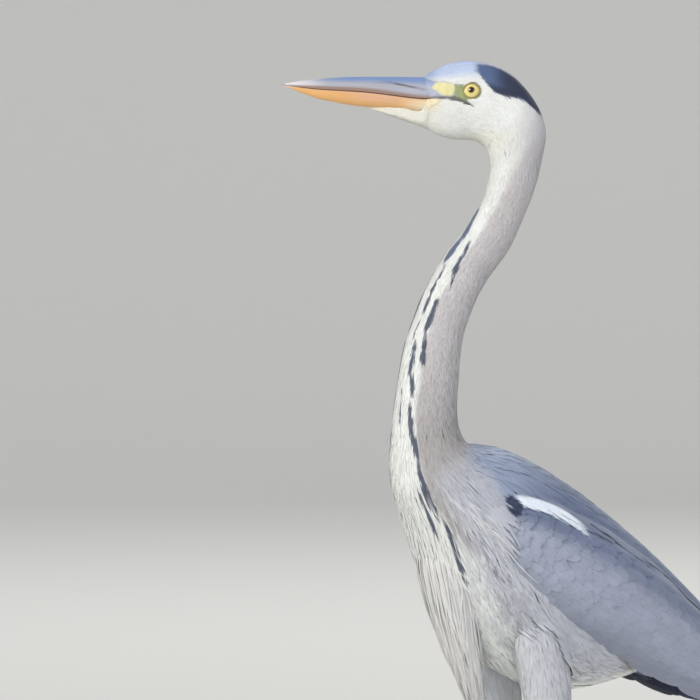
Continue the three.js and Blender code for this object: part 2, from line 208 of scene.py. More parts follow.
def placed(p):
    """Straight bird to row frame: turns each point about the neck's upright axis by an
    angle that grows with height."""
    left, ahead, up = p[..., 0], p[..., 1], p[..., 2]
    c, s = turned(up)
    return np.stack([left * c - ahead * s, -left * s - ahead * c, up], -1) + ORIGIN


def straightened(p):
    """Row frame to straight bird; undoes `placed`."""
    x, y, up = np.moveaxis(p - ORIGIN, -1, 0)
    c, s = turned(up)
    return np.stack([x * c - y * s, -x * s - y * c, up], -1)


def body(t, phi, out=0.0):
    """Point of the straight body: an egg-shaped ring between its back and front lines.
    t is the station, phi the angle from the front line towards the bird's left."""
    # the outline breaks at the root of the bill, so chin and head are separate curves
    chin = (t < CHIN_END)[..., None]
    rows = np.where(
        chin, spline(STATIONS[: CHIN_END + 1], t), spline(STATIONS[CHIN_END:], t - CHIN_END),
    )
    back_a, back_u, front_a, front_u, half, full = np.moveaxis(rows, -1, 0)
    depth = np.hypot(back_a - front_a, back_u - front_u) / 2
    ahead = (back_a - front_a) / 2 / depth
    up = (back_u - front_u) / 2 / depth
    reach = -(depth + out) * np.cos(phi)
    side = (half + out) * np.sin(phi) * (1 + full * np.cos(phi))
    return np.stack([
        side, (back_a + front_a) / 2 + ahead * reach, (back_u + front_u) / 2 + up * reach,
    ], -1)


def wing_left(q, top, foot, bulge):
    """How far a wing's outer surface stands from the middle plane, at share q of its height."""
    return foot + (top - foot) * q + bulge * (1 - np.abs(2 * q - 1) ** 3)


def on_wing(side, left, share, height):
    """Point of a wing, from its share of the run and its height over the run's line."""
    return placed(np.stack([
        side * left,
        WING_BEND[0] + WING_RUN[0] * share + WING_RISE[0] * height,
        WING_BEND[1] + WING_RUN[1] * share + WING_RISE[1] * height,
    ], -1))


def wing(side):
    """Outer surface of a folded wing: t runs from bend to tip, q from lower to upper edge."""
    def surface(t, q, out=0.0):
        """Its point, `out` millimetres off the surface."""
        share, over, under, top, foot, bulge, _ = np.moveaxis(spline(WING, t), -1, 0)
        left = np.maximum(wing_left(q, top, foot, bulge), WING_CLEAR) + out
        return on_wing(side, left, share, under + (over - under) * q)

    return surface


def wing_sheet(side):
    """The same wing on even axes: t millimetres from the bend along its line, and u
    millimetres above that line. Past the wing's edges it runs on level."""
    def surface(t, u, out=0.0):
        """Its point, `out` millimetres off the surface."""
        index = np.interp(t / WING_LENGTH, WING[:, 0], np.arange(len(WING)))
        _, over, under, top, foot, bulge, _ = np.moveaxis(spline(WING, index), -1, 0)
        q = np.clip((u - under) / np.maximum(over - under, 16), 0, 1)
        left = np.maximum(wing_left(q, top, foot, bulge), WING_CLEAR) + out
        return on_wing(side, left, t / WING_LENGTH, u)

    return surface


def wing_reach(ahead, up):
    """How far a wing's outer surface stands from the middle plane over a point of the
    side view, and minus infinity where no wing lies."""
    x, z = ahead - WING_BEND[0], up - WING_BEND[1]
    share = (x * WING_RUN[0] + z * WING_RUN[1]) / WING_LENGTH ** 2
    height = (x * WING_RUN[1] - z * WING_RUN[0]) / WING_LENGTH
    over, under, top, foot, bulge = (
        np.interp(share, WING[:, 0], WING[:, k]) for k in (1, 2, 3, 4, 5)
    )
    q = (height - under) / (over - under)
    inside = (share > 0) & (share < 1) & (q > 0) & (q < 1)
    return np.where(inside, wing_left(q, top, foot, bulge), -1e9)


def leg_line(up, foot):
    """Where a leg's middle line runs at a height: ahead, and out from the middle plane."""
    reach = np.clip((up - ANKLE_UP) / (HIP_UP - ANKLE_UP), 0, 1)
    return foot + (HIP_AHEAD - foot) * reach, LEG_SIDE + (HIP_SIDE - LEG_SIDE) * reach


def leg(which):
    """Leg from hip to foot: an ellipse carried down a gently bent path."""
    side = SIDES[which]
    foot = HIP_AHEAD + STEP[which]

    def surface(t, phi, out=0.0):
        """Its point, `out` millimetres off the surface."""
        ahead, up, deep, wide = np.moveaxis(spline(LEG, t), -1, 0)
        hip, left = leg_line(up, foot)
        return placed(np.stack([
            side * left + (wide + out) * np.sin(phi), hip + ahead + (deep + out) * np.cos(phi), up,
        ], -1))

    return surface


PLUMES = np.array([  # front line (ahead, up), half depth, half width
    [66, 520, 10, 18], [61, 480, 16, 27], [55, 455, 19, 28], [46, 428, 18, 25],
    [35, 402, 15, 20], [22, 376, 11, 14], [12, 354, 8, 10], [4, 334, 4, 5], [1, 322, 1.6, 2],
])
TAIL_ROOT, TAIL_TIP = np.array([-200.0, 409.0]), np.array([-373.0, 314.0])


def plume(t, phi, out=0.0):
    """Surface of the hanging breast plumes, from their top row to their tip."""
    front, up, deep, wide = np.moveaxis(spline(PLUMES, t), -1, 0)
    below = np.maximum(t - (len(PLUMES) - 1), 0)
    return placed(np.stack([
        (wide + out) * np.sin(phi), front - 3 * below - deep + (deep + out) * np.cos(phi),
        up - 12 * below,
    ], -1))


def tail(t, u, out=0.0):
    """Upper face of the closed tail: t from root to tip, u from -1 to 1 across, arched."""
    run = TAIL_TIP - TAIL_ROOT
    rise = np.array([run[1], -run[0]]) / np.hypot(*run)
    high = out - 4.0 * u * u
    return placed(np.stack([
        u * (12 + 5 * t), TAIL_ROOT[0] + run[0] * t + rise[0] * high,
        TAIL_ROOT[1] + run[1] * t + rise[1] * high,
    ], -1))


# ---- meshes ---------------------------------------------------------------------------------
def grid_faces(rows, columns, closed=False, looped=False):
    """Quads of a grid of points; a closed grid joins its last column to its first, and a
    looped one its last row to its first."""
    r = np.arange(rows if looped else rows - 1)[:, None]
    c = np.arange(columns if closed else columns - 1)[None]
    m, n = (r + 1) % rows, (c + 1) % columns
    quads = [r * columns + c, m * columns + c, m * columns + n, r * columns + n]
    return np.stack(np.broadcast_arrays(*quads), -1).reshape(-1, 4)


def make_mesh(name, points, quads, triangles=None):
    """A smooth mesh from points in millimetres and arrays of quads and triangles."""
    triangles = np.zeros((0, 3), int) if triangles is None else triangles
    mesh = bpy.data.meshes.new(name)
    corners = np.concatenate([quads.ravel(), triangles.ravel()])
    starts = np.concatenate([
        np.arange(len(quads)) * 4, len(quads) * 4 + np.arange(len(triangles)) * 3,
    ])
    mesh.vertices.add(len(points))
    mesh.vertices.foreach_set("co", (points * 0.001).astype(np.float32).ravel())
    mesh.loops.add(len(corners))
    mesh.loops.foreach_set("vertex_index", corners.astype(np.int32))
    mesh.polygons.add(len(starts))
    mesh.polygons.foreach_set("loop_start", starts.astype(np.int32))
    mesh.update(calc_edges=True)
    mesh.polygons.foreach_set("use_smooth", np.ones(len(starts), bool))
    return mesh


def add_colour(mesh, name, values):
    """Stores one linear colour for each point."""
    data = np.ones((len(mesh.vertices), 4), np.float32)
    data[:, : values.shape[-1]] = values
    mesh.color_attributes.new(name, "FLOAT_COLOR", "POINT").data.foreach_set(
        "color", data.ravel()
    )


def add_uv(mesh, name, per_point):
    """Stores a UV map given by point."""
    corner = np.empty(len(mesh.loops), np.int32)
    mesh.loops.foreach_get("vertex_index", corner)
    layer = mesh.uv_layers.new(name=name)
    layer.data.foreach_set("uv", per_point[corner].astype(np.float32).ravel())


def show(name, mesh, material, replaces=()):
    """Puts a finished mesh into the scene as a piece of the still bird."""
    obj = bpy.data.objects.new(name, mesh)
    bpy.context.scene.collection.objects.link(obj)
    mesh.materials.append(material)
    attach(obj, "root")
    if replaces:
        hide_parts(*replaces)
    return obj


# ---- colours and materials ------------------------------------------------------------------
def linear(hex_colour):
    """sRGB hex to linear light."""
    value = np.array([int(hex_colour[i:i + 2], 16) for i in (1, 3, 5)]) / 255
    return np.where(value <= 0.04045, value / 12.92, ((value + 0.055) / 1.055) ** 2.4)


NECK_GREY = linear("#C3C0C1")
BACK_GREY = linear("#93A0B8")
# a deeper blue-grey: the upper quills' own colour, and painted shade on mantle and wing
BACK_DEEP_AND_SHADE = linear("#616F8C")
SHOULDER_GREY = linear("#B9BCC6")
NECK_DEEP = linear("#A5A2A2")
NAPE_GREY = linear("#C0BEC1")
WHITE = linear("#DFE2E0")
CREAM = linear("#E4DFC4")
SLATE = linear("#3A445C")
INK = linear("#23262E")
CAP_BLUE = linear("#53648A")
CAP_INK = linear("#2B303F")
WING_GREY = linear("#A1A7B9")
QUILL_GREY = linear("#69718A")
BROW_SKY_BLUE = linear("#A9BADD")
LORE_YELLOW = linear("#D2CC98")
LORE_GREEN = linear("#8E9768")
GAPE_GREY = linear("#56524E")
FACE_GREY = linear("#A3A8BA")
LID = linear("#8A7F55")
STRIPE_WHITE = linear("#E8F0FA")
CULMEN_BLUE = linear("#6F87B2")
UPPER_SIDE = linear("#9E9FA9")
UPPER_EDGE = linear("#8C7468")
UPPER_TIP = linear("#D3D2D6")
LOWER_ORANGE = linear("#DAA76A")
LOWER_PINK = linear("#D0A68B")
LOWER_BASE = linear("#E2D3B2")
MOUTH_BROWN = linear("#5A3630")
IRIS_YELLOW = linear("#DDD285")
IRIS_GOLD = linear("#B08C40")
PUPIL = linear("#1A1206")
EYE_RIM = linear("#241D12")
CLAW_BROWN = linear("#3B332B")
LEG_OLIVE = linear("#857B5C")
LEG_YELLOW = linear("#A99760")


def tint(colour, other, amount):
    """Mixes another colour over an array of colours by an array of amounts."""
    return colour + (other - colour) * np.clip(amount, 0, 1)[..., None]


def layered(colour, *layers):
    """Mixes colours over one another: each layer is (colour, amounts)."""
    for other, amount in layers:
        colour = tint(colour, other, amount)
    return colour


def filled(colour, t):
    """One colour for every point of an array."""
    return np.broadcast_to(colour, t.shape + (3,))


def shader(name):
    """An empty node material and its principled shader."""
    material = bpy.data.materials.new(name)
    material.use_nodes = True
    tree = material.node_tree
    return material, tree, tree.nodes["Principled BSDF"]


def feed(tree, made, inputs):
    """Gives each socket of a node its value, or the output that feeds it."""
    for socket, value in inputs.items():
        if isinstance(value, bpy.types.NodeSocket):
            tree.links.new(value, made.inputs[socket])
        else:
            made.inputs[socket].default_value = value


def node(tree, kind, output, inputs=None, **settings):
    """Adds one node with its inputs and its own settings, and hands back one output."""
    made = tree.nodes.new(kind)
    for key, value in settings.items():
        setattr(made, key, value)
    feed(tree, made, inputs or {})
    return made.outputs[output]


def stored(tree, name):
    """Colour that the mesh carries under a name."""
    return node(tree, "ShaderNodeAttribute", "Color", attribute_name=name)


def stretched(tree, uv_map, scale):
    """Place on a UV map, with its own scale along each axis."""
    flat = node(tree, "ShaderNodeUVMap", "UV", uv_map=uv_map)
    return node(tree, "ShaderNodeMapping", "Vector", {"Vector": flat, "Scale": scale})


def noise(tree, place, scale, detail):
    """Cloudy noise, mostly between 0.3 and 0.7."""
    return node(
        tree, "ShaderNodeTexNoise", "Fac", {"Vector": place, "Scale": scale, "Detail": detail},
    )


def remap(tree, value, start, end, low, high):
    """Brings a value from start..end to low..high, and no further."""
    return node(
        tree, "ShaderNodeMapRange", "Result",
        {"Value": value, "From Min": start, "From Max": end, "To Min": low, "To Max": high},
    )


def shaded(tree, colour, amount):
    """Colour times an amount."""
    return node(
        tree, "ShaderNodeVectorMath", "Vector", {0: colour, "Scale": amount}, operation="SCALE",
    )


def relief(tree, height, strength, metres):
    """Normal of a surface that a height field roughens."""
    return node(
        tree, "ShaderNodeBump", "Normal",
        {"Height": height, "Strength": strength, "Distance": metres},
    )


def plumage(name, roughness, sheen, barb_mm, depth, shaft=0.0):
    """Feather: keratin barbs too fine to see one by one. They give a matt face with a
    faint silky edge, fine streaks that run along each tuft, and a dark shaft if it has one."""
    material, tree, surface = shader(name)
    pigment = stored(tree, "Pigment")
    tuft = stored(tree, "Tuft")
    split = node(tree, "ShaderNodeSeparateColor", "Red", {"Color": tuft}).node
    from_root, own, from_shaft = split.outputs
    # the map is in millimetres; barbs lie `barb_mm` apart and each runs about 12 mm
    barbs = noise(tree, stretched(tree, "Vane", (0.08, 1.0 / barb_mm, 1.0)), 1.0, 2.0)
    patches = noise(tree, node(tree, "ShaderNodeTexCoord", "Object"), 60.0, 3.0)
    factors = [
        # each tuft has its own tone, and painted shade darkens its root, under the tufts that lie over
        # it
        remap(tree, own, 0.0, 1.0, 0.94, 1.05),
        remap(tree, from_root, 0.0, 0.7, 1.0 - depth, 1.0),
        # it varies along its barbs and from place to place
        remap(tree, barbs, 0.3, 0.7, 0.93, 1.05),
        remap(tree, patches, 0.3, 0.7, 0.95, 1.04),
        # a dark shaft and a pale rim
        remap(tree, from_shaft, 0.0, 0.09, 1.0 - shaft, 1.0),
        remap(tree, from_shaft, 0.7, 1.0, 1.0, 1.0 + 0.4 * shaft),
    ]
    product = factors[0]
    for factor in factors[1:]:
        product = node(
            tree, "ShaderNodeMath", "Value", {0: product, 1: factor}, operation="MULTIPLY",
        )
    feed(tree, surface, {
        "Base Color": shaded(tree, pigment, product),
        "Normal": relief(tree, barbs, 0.25, 0.0003),
        "Roughness": roughness,
        "Specular IOR Level": 0.25,
        "Sheen Weight": sheen,
        "Sheen Roughness": 0.4,
    })
    return material


def living_skin(name):
    """Skin: bare and scaly on the legs, thin and waxy on the lore, downy elsewhere. The
    pigment is mottled, and small scales break up its satin shine."""
    material, tree, surface = shader(name)
    pigment = stored(tree, "Pigment")
    place = node(tree, "ShaderNodeTexCoord", "Object")
    # scales about 1.6 mm across
    scales = node(
        tree, "ShaderNodeTexVoronoi", "Distance", {"Vector": place, "Scale": 1000 / 1.6},
        feature="DISTANCE_TO_EDGE",
    )
    mottle = remap(tree, noise(tree, place, 220.0, 4.0), 0.3, 0.7, 0.86, 1.08)
    colour = shaded(tree, pigment, mottle)
    groove = remap(tree, scales, 0.0, 0.12, 0.0, 1.0)
    height = node(tree, "ShaderNodeSeparateXYZ", "Z", {"Vector": place})
    # the bare legs reach up to 0.27 m; the face above them has no scales
    legs = remap(tree, height, 0.27, 0.25, 0.0, 0.7)
    feed(tree, surface, {
        "Base Color": colour,
        "Normal": relief(tree, groove, legs, 0.0004),
        "Roughness": 0.55,
        "Specular IOR Level": 0.4,
    })
    return material


# ---- markings ---------------------------------------------------------------------------------
# The white foreneck: station, and its edges on the bird's left and right, in degrees. The
# neck is twisted, so that higher up the white has turned towards the left.
WHITE_FRONT = np.array([
    [12, 110, -120], [14, 84, -80], [15.5, 62, -52], [17, 54, -22], [18.6, 50, -14],
    [19.5, 38, -15], [21.5, 42, -20], [23, 37, -36], [25, 40, -44], [26.3, 37, -50],
    [27.3, 40, -50], [28.6, 52, -60], [30.5, 36, -36],
])
# Dark streaks of the foreneck: first and last station, first and last angle, width in mm.
STREAKS = np.array([
    # the middle row, from the throat down
    [16.1, 16.75, 3, 9, 5.2], [16.68, 17.3, 10, 15, 5.6], [17.28, 18.2, 13, 10, 5.6],
    [18.35, 18.85, 20, 18, 1.8], [18.85, 19.4, 15, 13, 2.6], [19.45, 20.15, 14, 12, 2.4],
    [20.3, 20.85, 9, 6, 1.6], [20.9, 21.37, 16.5, 18, 3.0], [21.33, 21.95, 19, 14, 3.2],
    [22.4, 23.5, 0, 6, 1.2],
    # the left row, on to the breast
    [17.3, 17.72, 41, 48, 2.4], [17.72, 18.12, 50, 47, 1.9], [18.1, 18.58, 47, 49, 3.0],
    [18.6, 19.0, 51, 53, 1.4], [19.5, 20.05, 36, 33, 2.8], [19.9, 20.6, 34, 31, 3.6],
    [20.72, 21.25, 36, 40, 3.2], [21.1, 21.7, 39, 42, 3.8], [21.85, 22.5, 20, 28, 3.0],
    [22.75, 23.72, 24.5, 30, 3.8], [23.6, 24.75, 30, 38, 4.4],
    [24.9, 26.65, 36, 32, 4.4], [25.9, 27.25, 25, 24, 3.2], [27.05, 28.35, 38, 32, 4.2],
    [28.1, 28.7, 5, 5, 3.0],
    # the right row
    [17.3, 17.9, -22, -28, 3.4], [18.0, 18.7, -34, -36, 3.6], [18.8, 19.3, -30, -26, 2.4],
    [19.4, 20.5, -22, -26, 3.4], [20.9, 22.0, -28, -32, 3.6], [22.3, 23.3, -33, -34, 3.4],
    [23.5, 24.7, -33, -37, 4.0], [24.9, 26.5, -36, -32, 4.4], [26.8, 28.2, -37, -33, 4.2],
])
CAP_EDGE = np.array([
    [-53, 858.0], [-47.7, 862.2], [-38.7, 870.2], [-31.5, 873.5], [-22, 874.0],
    [-11.7, 878.3], [-5.7, 884.3], [2.4, 895.1],
])
EYE_CENTRE = np.array([EYE_AHEAD + 0.7, EYE_UP + 1.9])  # of the opening, in the side view


def cap_amount(p):
    """Dark band on each side of the crown, from over the eye to the nape."""
    left, ahead, up = np.moveaxis(p, -1, 0)
    edge = np.interp(ahead, CAP_EDGE[:, 0], CAP_EDGE[:, 1])
    amount = ramp(up - edge, -1.4, 1.4) * ramp(ahead, 7.0, 0.5) * ramp(up, 855, 862)
    middle = ramp(np.abs(left), 7.0, 3.0) * ramp(ahead, -46, -20)
    return amount * (1 - 0.75 * middle)


def between(ahead, up, rows, soft=0.35):
    """1 between two lines of the side view, given as rows (ahead, lower, upper), and 0
    outside them, with a soft edge."""
    low = np.interp(ahead, rows[:, 0], rows[:, 1])
    high = np.interp(ahead, rows[:, 0], rows[:, 2])
    ends = ramp(ahead, rows[0, 0] - soft, rows[0, 0] + soft) * ramp(
        ahead, rows[-1, 0] + soft, rows[-1, 0] - soft,
    )
    return ends * ramp(up, low - soft, low + soft) * ramp(up, high + soft, high - soft)


# Bare face: all of it, its yellow patch, its green patch, the horn at the root of the
# lower bill, and the dark skin at the corner of the mouth.
BARE_FACE = np.array([
    [4, 863.4, 864.2], [8, 865.2, 867.4], [11.6, 866.6, 871], [14, 867.4, 884.4], [23, 870.3, 885.8],
    [33, 872.2, 887.4], [37, 872.6, 887.6], [43, 872.8, 888.6], [52, 872.8, 892.6],
])
YELLOW_FACE = np.array([
    [22.4, 879.4, 883.6], [24, 876.4, 885.4], [26, 875.1, 886.2], [32, 875.6, 887.2],
    [36, 878.2, 887.2], [39, 880.6, 885.2], [42.0, 882.4, 883.0],
])
GREEN_FACE = np.array([[10, 870.5, 884.0], [16, 871.2, 885.0], [22.4, 873.4, 885.8]])
LOWER_ROOT = np.array([
    [33.5, 871.4, 873.4], [40, 867.0, 873.4], [46.5, 862.0, 873.4], [52, 861, 873.4],
])
MOUTH_CORNER = np.array([
    [4, 863.3, 864.2], [8.5, 865.2, 867.6], [12, 866.8, 870.6], [17, 868.8, 873.2],
    [22, 870.2, 874.9], [27, 871.6, 875.0], [32, 872.4, 874.9], [40, 872.8, 874.6],
    [49, 872.9, 874.4],
])


def eye_ring(p):
    """Distance from the eye's middle in the side view."""
    return np.hypot(p[..., 1] - EYE_CENTRE[0], p[..., 2] - EYE_CENTRE[1])


def bare_amount(p):
    """Bare skin and horn: between bill and eye, round the eye, and at the mouth's corner."""
    ahead, up = p[..., 1], p[..., 2]
    amount = np.maximum(between(ahead, up, BARE_FACE), between(ahead, up, LOWER_ROOT))
    return np.maximum(amount, ramp(eye_ring(p), 7.9, 7.3)) * ramp(np.abs(p[..., 0]), 2, 4)


def bare_head(t, p):
    """The same on the head alone, without what the root of the bill covers."""
    return bare_amount(p) * (t < HEAD_END) * (t > CHIN_END - 0.5)


def streak_amount(t, phi, half):
    """Dark spindles of the foreneck's rows."""
    angle = np.degrees(wrap(phi))
    amount = np.zeros(np.broadcast(t, phi).shape)
    for first, last, start, end, width in STREAKS:
        share = (t - first) / (last - first)
        at = start + (end - start) * share
        across = np.radians(angle - at) * half / (width * 0.6)
        along = (2 * share - 1) / 1.1
        amount = np.maximum(amount, ramp(along ** 2 + across ** 2, 1.4, 0.75))
    return amount


def body_pigment(t, phi):
    """Colour of the plumage anywhere on head, neck and trunk."""
    t, phi = np.broadcast_arrays(np.asarray(t, float), np.asarray(phi, float))
    p = body(t, phi)
    _, ahead, up = np.moveaxis(p, -1, 0)
    angle = np.degrees(wrap(phi))
    off = np.abs(angle)
    half = spline(STATIONS, t)[..., 4]
    sink = ramp(t, 26.6, 28.6)
    back = ramp(off, 96 - 14 * sink, 128 - 24 * sink)
    near, far = (np.interp(t, WHITE_FRONT[:, 0], WHITE_FRONT[:, k]) for k in (1, 2))
    blur = 5 + 14 * ramp(t, 17.5, 14)
    white = ramp(angle, near + blur, near - blur) * ramp(angle, far - 7, far + 7)
    flank = ramp(t, 29.2, 30.6) * ramp(t, 33.8, 32) * ramp(off, 24, 30) * ramp(off, 40, 34)
    # a dark spot at the shoulder, beside the breast plumes, painted as shadow
    side = ramp(np.hypot((t - 28.55) / 0.62, (off - 59) / 6.0), 1.25, 0.6)
    # the uppermost streaks are bluer
    ink = tint(filled(SLATE, t), CAP_BLUE, 0.7 * ramp(t, 18.6, 17.8) * ramp(angle, 34, 26))
    low = t > 24
    brow = ramp(up, 887, 899 - 5 * ramp(ahead, 14, 36)) * ramp(t, 13, 10)
    cap = cap_amount(p) * ramp(t, 14.2, 13.2)
    return layered(
        filled(NECK_GREY, t),
        (NECK_DEEP, ramp(t, 21, 24.2)),
        (SHOULDER_GREY, ramp(t, 24.4, 26.6) * ramp(off, 36, 66)),
        (BACK_GREY, ramp(t, 24.4, 26.4) * back),
        # painted shade: the mantle darkens towards its rear, where it turns away from the light
        (BACK_DEEP_AND_SHADE, ramp(t, 27.4, 30.6) * back),
        # cheeks and the upper neck are white and grow grey downwards
        (NAPE_GREY, ramp(t, 16, 13) * ramp(off, 80, 130)),
        (WHITE, 0.95 * ramp(t, 16.5 - 3.5 * ramp(off, 50, 130), 10.5)),
        (WHITE, white * ramp(t, 12, 14)),
        # belly white between dark flanks, undertail white
        (WHITE, ramp(t, 29, 30) * ramp(off, 40, 26)),
        (SLATE, 0.5 * flank),
        # painted shadow at the shoulder
        (SLATE, 0.4 * side),
        (ink, 0.92 * streak_amount(t, phi, half)),
        # the wing's front stripe and patch, where the body's feathers lie over them
        (STRIPE_WHITE, stripe_amount(ahead, up) * low),
        (SLATE, patch_amount(ahead, up) * low),
        # head
        (CREAM, 0.35 * ramp(t, 7, 2) + 0.3 * ramp(np.abs(t - 9), 4, 1) * ramp(up, 850, 840)),
        # painted sky light: the top of the forehead is tinted blue as if lit by the sky
        (BROW_SKY_BLUE, 0.85 * brow * ramp(ahead, -8, 8)),
        (CULMEN_BLUE, 0.55 * ramp(ahead, 34, 47) * ramp(up, 883, 888)),
        (LOWER_BASE, 0.4 * ramp(ahead, 30, 39) * ramp(np.abs(up - 867), 7, 3)),
        # painted sheen: the crown's black band is painted blue-slate as if lit from above, and left inky
        # black towards its rear and lower edges
        (CAP_BLUE, cap),
        (CAP_INK, 0.85 * cap * np.maximum(ramp(ahead, -6, -24), ramp(up, 889, 880))),
    )


def skin_pigment(t, phi):
    """The skin carries the plumage's markings, and its own colours where it is bare."""
    p = body(t, phi)
    ahead, up = p[..., 1], p[..., 2]
    bare = bare_head(t, p)
    green = np.maximum(between(ahead, up, GREEN_FACE, 1.4), ramp(eye_ring(p), 8.4, 7.4))
    return layered(
        body_pigment(t, phi),
        (FACE_GREY, bare),
        (GAPE_GREY, 0.8 * bare * ramp(ahead, 15, 9)),
        (CULMEN_BLUE, 0.7 * bare * ramp(up, 882, 888) * ramp(ahead, 36, 43)),
        (LOWER_BASE, bare * between(ahead, up, LOWER_ROOT)),
        (LORE_GREEN, bare * green),
        (LORE_YELLOW, bare * between(ahead, up, YELLOW_FACE, 1.2)),
        (GAPE_GREY, 0.85 * bare * between(ahead, up, MOUTH_CORNER, 0.6)),
    )


# ---- skin ---------------------------------------------------------------------------------------
# How deep the plumage lies on the skin, by station.
DEPTH = np.array([
    [0, 0.6], [5, 0.9], [9, 1.4], [13, 1.6], [20, 1.7], [24, 2.4], [27, 4], [31, 4.6], [37, 3],
])


def coat_depth(t):
    """Depth of the plumage at a station."""
    return np.interp(t, DEPTH[:, 0], DEPTH[:, 1])


def tube(points, colours):
    """Closed surface through rings of points, with a fan over each end."""
    rings, sides = points.shape[:2]
    if np.einsum("rsk,rsk->", np.cross(
        points[1:] - points[:-1], np.roll(points, -1, 1)[:-1] - points[:-1],
    ), points[:-1] - points[:-1].mean(1, keepdims=True)) < 0:
        points, colours = points[:, ::-1], colours[:, ::-1]
    k = np.arange(sides)
    n = (k + 1) % sides
    first, last = rings * sides, rings * sides + 1
    fans = np.concatenate([
        np.stack([np.full(sides, first), k, n], -1),
        np.stack([np.full(sides, last), (rings - 1) * sides + n, (rings - 1) * sides + k], -1),
    ])
    ends = np.stack([points[0].mean(0), points[-1].mean(0)])
    end_colours = np.stack([colours[0].mean(0), colours[-1].mean(0)])
    return (
        np.concatenate([points.reshape(-1, 3), ends]),
        grid_faces(rings, sides, closed=True),
        fans,
        np.concatenate([colours.reshape(-1, 3), end_colours]),
    )


def loop(points, colours):
    """Closed surface through rings of points whose last ring joins the first."""
    rings, sides = points.shape[:2]
    middle = points.mean(1, keepdims=True)
    square = np.cross(np.roll(points, -1, 0) - points, np.roll(points, -1, 1) - points)
    if np.einsum("rsk,rsk->", square, points - middle) < 0:
        points, colours = points[:, ::-1], colours[:, ::-1]
    return (
        points.reshape(-1, 3), grid_faces(rings, sides, closed=True, looped=True),
        None, colours.reshape(-1, 3),
    )


def eye_centre(side):
    """Straight-bird place of an eyeball's centre."""
    return np.array([side * EYE_LEFT, EYE_AHEAD, EYE_UP])


def eye_axis(side):
    """Straight-bird direction in which an eye looks: sideways, a little up and ahead."""
    axis = np.array([side * 0.94, 0.10, 0.30])
    return axis / np.linalg.norm(axis)


def around_eye(p, lift=0.0):
    """Flattens the skin of the head into a shallow dish about each eye, raises a brow
    over it, and draws it in under the eyeball. Plumage keeps its `lift` over the skin."""
    for side in SIDES.values():
        axis = eye_axis(side)
        from_eye = p - eye_centre(side)
        high = from_eye @ axis
        across = from_eye - high[..., None] * axis
        away = np.linalg.norm(across, axis=-1)
        near = ramp(away, 13.5, 8.5) * (high > -2)
        dish = np.where(away < 6.0, 3.0, 5.3) + lift
        p = p + ((dish - high) * near)[..., None] * axis
        brow = np.exp(-((p[..., 2] - 888.5) / 2.6) ** 2 - ((p[..., 1] - 14) / 15.0) ** 2)
        p = p + (1.3 * brow * (side * p[..., 0] > 3))[..., None] * np.array([side, 0, 0.2])
    return p


def chin_lift(t, phi):
    """How far the chin's upper side grows up into the horn of the lower bill."""
    return 4.5 * ramp(np.cos(phi), 0.3, -0.6) * ramp(t, 4.0, 3.6) * ramp(t, 0.0, 0.8)


def body_skin():
    """Head, neck and trunk: the body's own surface, drawn in by the coat's depth and by
    the groove of the mouth's corner."""
    t = np.concatenate([
        np.linspace(0, CHIN_END, 24, endpoint=False),
        np.linspace(CHIN_END, HEAD_END, 180, endpoint=False),
        np.linspace(HEAD_END, 26, 90, endpoint=False), np.linspace(26, LAST, 60),
    ])[:, None]
    phi = turns(150)[None]
    t, phi = np.broadcast_arrays(t, phi)
    p = body(t, phi)
    bare = bare_amount(p) * (t < HEAD_END)
    groove = between(p[..., 1], p[..., 2], MOUTH_CORNER) * (t < HEAD_END)
    inset = coat_depth(t) * (1 - 0.8 * bare) + 0.6 * groove
    p = around_eye(body(t, phi, -inset))
    p[..., 2] += chin_lift(t, phi)
    return tube(placed(p), skin_pigment(t, phi))


def lids(which):
    """Eyelids: a low rounded rim that lies on the eyeball round an almond opening. Its
    middle line is (a cos v, b sin v) across the gaze, at the height of a sphere just
    wider than the eyeball; the rim's section is an ellipse tilted to the sphere."""
    side = SIDES[which]
    axis = eye_axis(side)
    ahead = np.array([0.0, 1.0, 0.0]) - axis[1] * axis
    ahead /= np.linalg.norm(ahead)
    up = np.cross(axis, ahead)
    up *= np.sign(up[2])
    v = turns(96)[:, None]
    w = turns(20)[None]
    corner = 1 + 0.06 * np.cos(v) ** 8
    reach = 1.35 + 0.25 * np.sin(v) ** 2
    x, y = (EYE_OPENING[0] + reach) * corner * np.cos(v), (EYE_OPENING[1] + reach) * np.sin(v)
    lean = np.arctan2(y, x)
    tilt = np.arcsin(np.minimum(np.hypot(x, y) / (EYE_RADIUS + 0.35), 1))
    thick = 0.62 + 0.3 * np.maximum(np.sin(v), 0) ** 2
    radius = EYE_RADIUS + 0.3 + thick * np.sin(w)
    polar = tilt + reach / EYE_RADIUS * np.cos(w)
    high, across = radius * np.cos(polar), radius * np.sin(polar)
    points = eye_centre(side) + (
        high[..., None] * axis + (across * np.cos(lean))[..., None] * ahead
        + (across * np.sin(lean))[..., None] * up
    )
    colour = tint(filled(LORE_GREEN, high), LID, ramp(np.cos(w) + 0 * v, 0.0, -0.8))
    return loop(placed(points), colour)


def wing_skin(which):
    """Flesh of a folded wing: a flat sleeve well inside its feathers."""
    side = SIDES[which]
    surface = wing(side)
    t = np.linspace(0.6, 6.4, 60)[:, None]
    q = np.concatenate([np.linspace(0.06, 0.94, 20), np.linspace(0.9, 0.1, 16)])[None]
    out = np.where(np.arange(36) < 20, -5.0, -11.0)[None]
    t, q, out = np.broadcast_arrays(t, q, out)
    points = surface(t, q, out * ramp(t, 0, 3))
    colours = np.broadcast_to(BACK_GREY * 0.7, points.shape)
    return tube(points, colours)


def thigh_pigment(t, phi):
    """Pale grey feathered thigh, whiter downwards."""
    t, phi = np.broadcast_arrays(t, phi)
    return tint(filled(SHOULDER_GREY, t), WHITE, 0.25 + 0.35 * ramp(t, 2, 8))


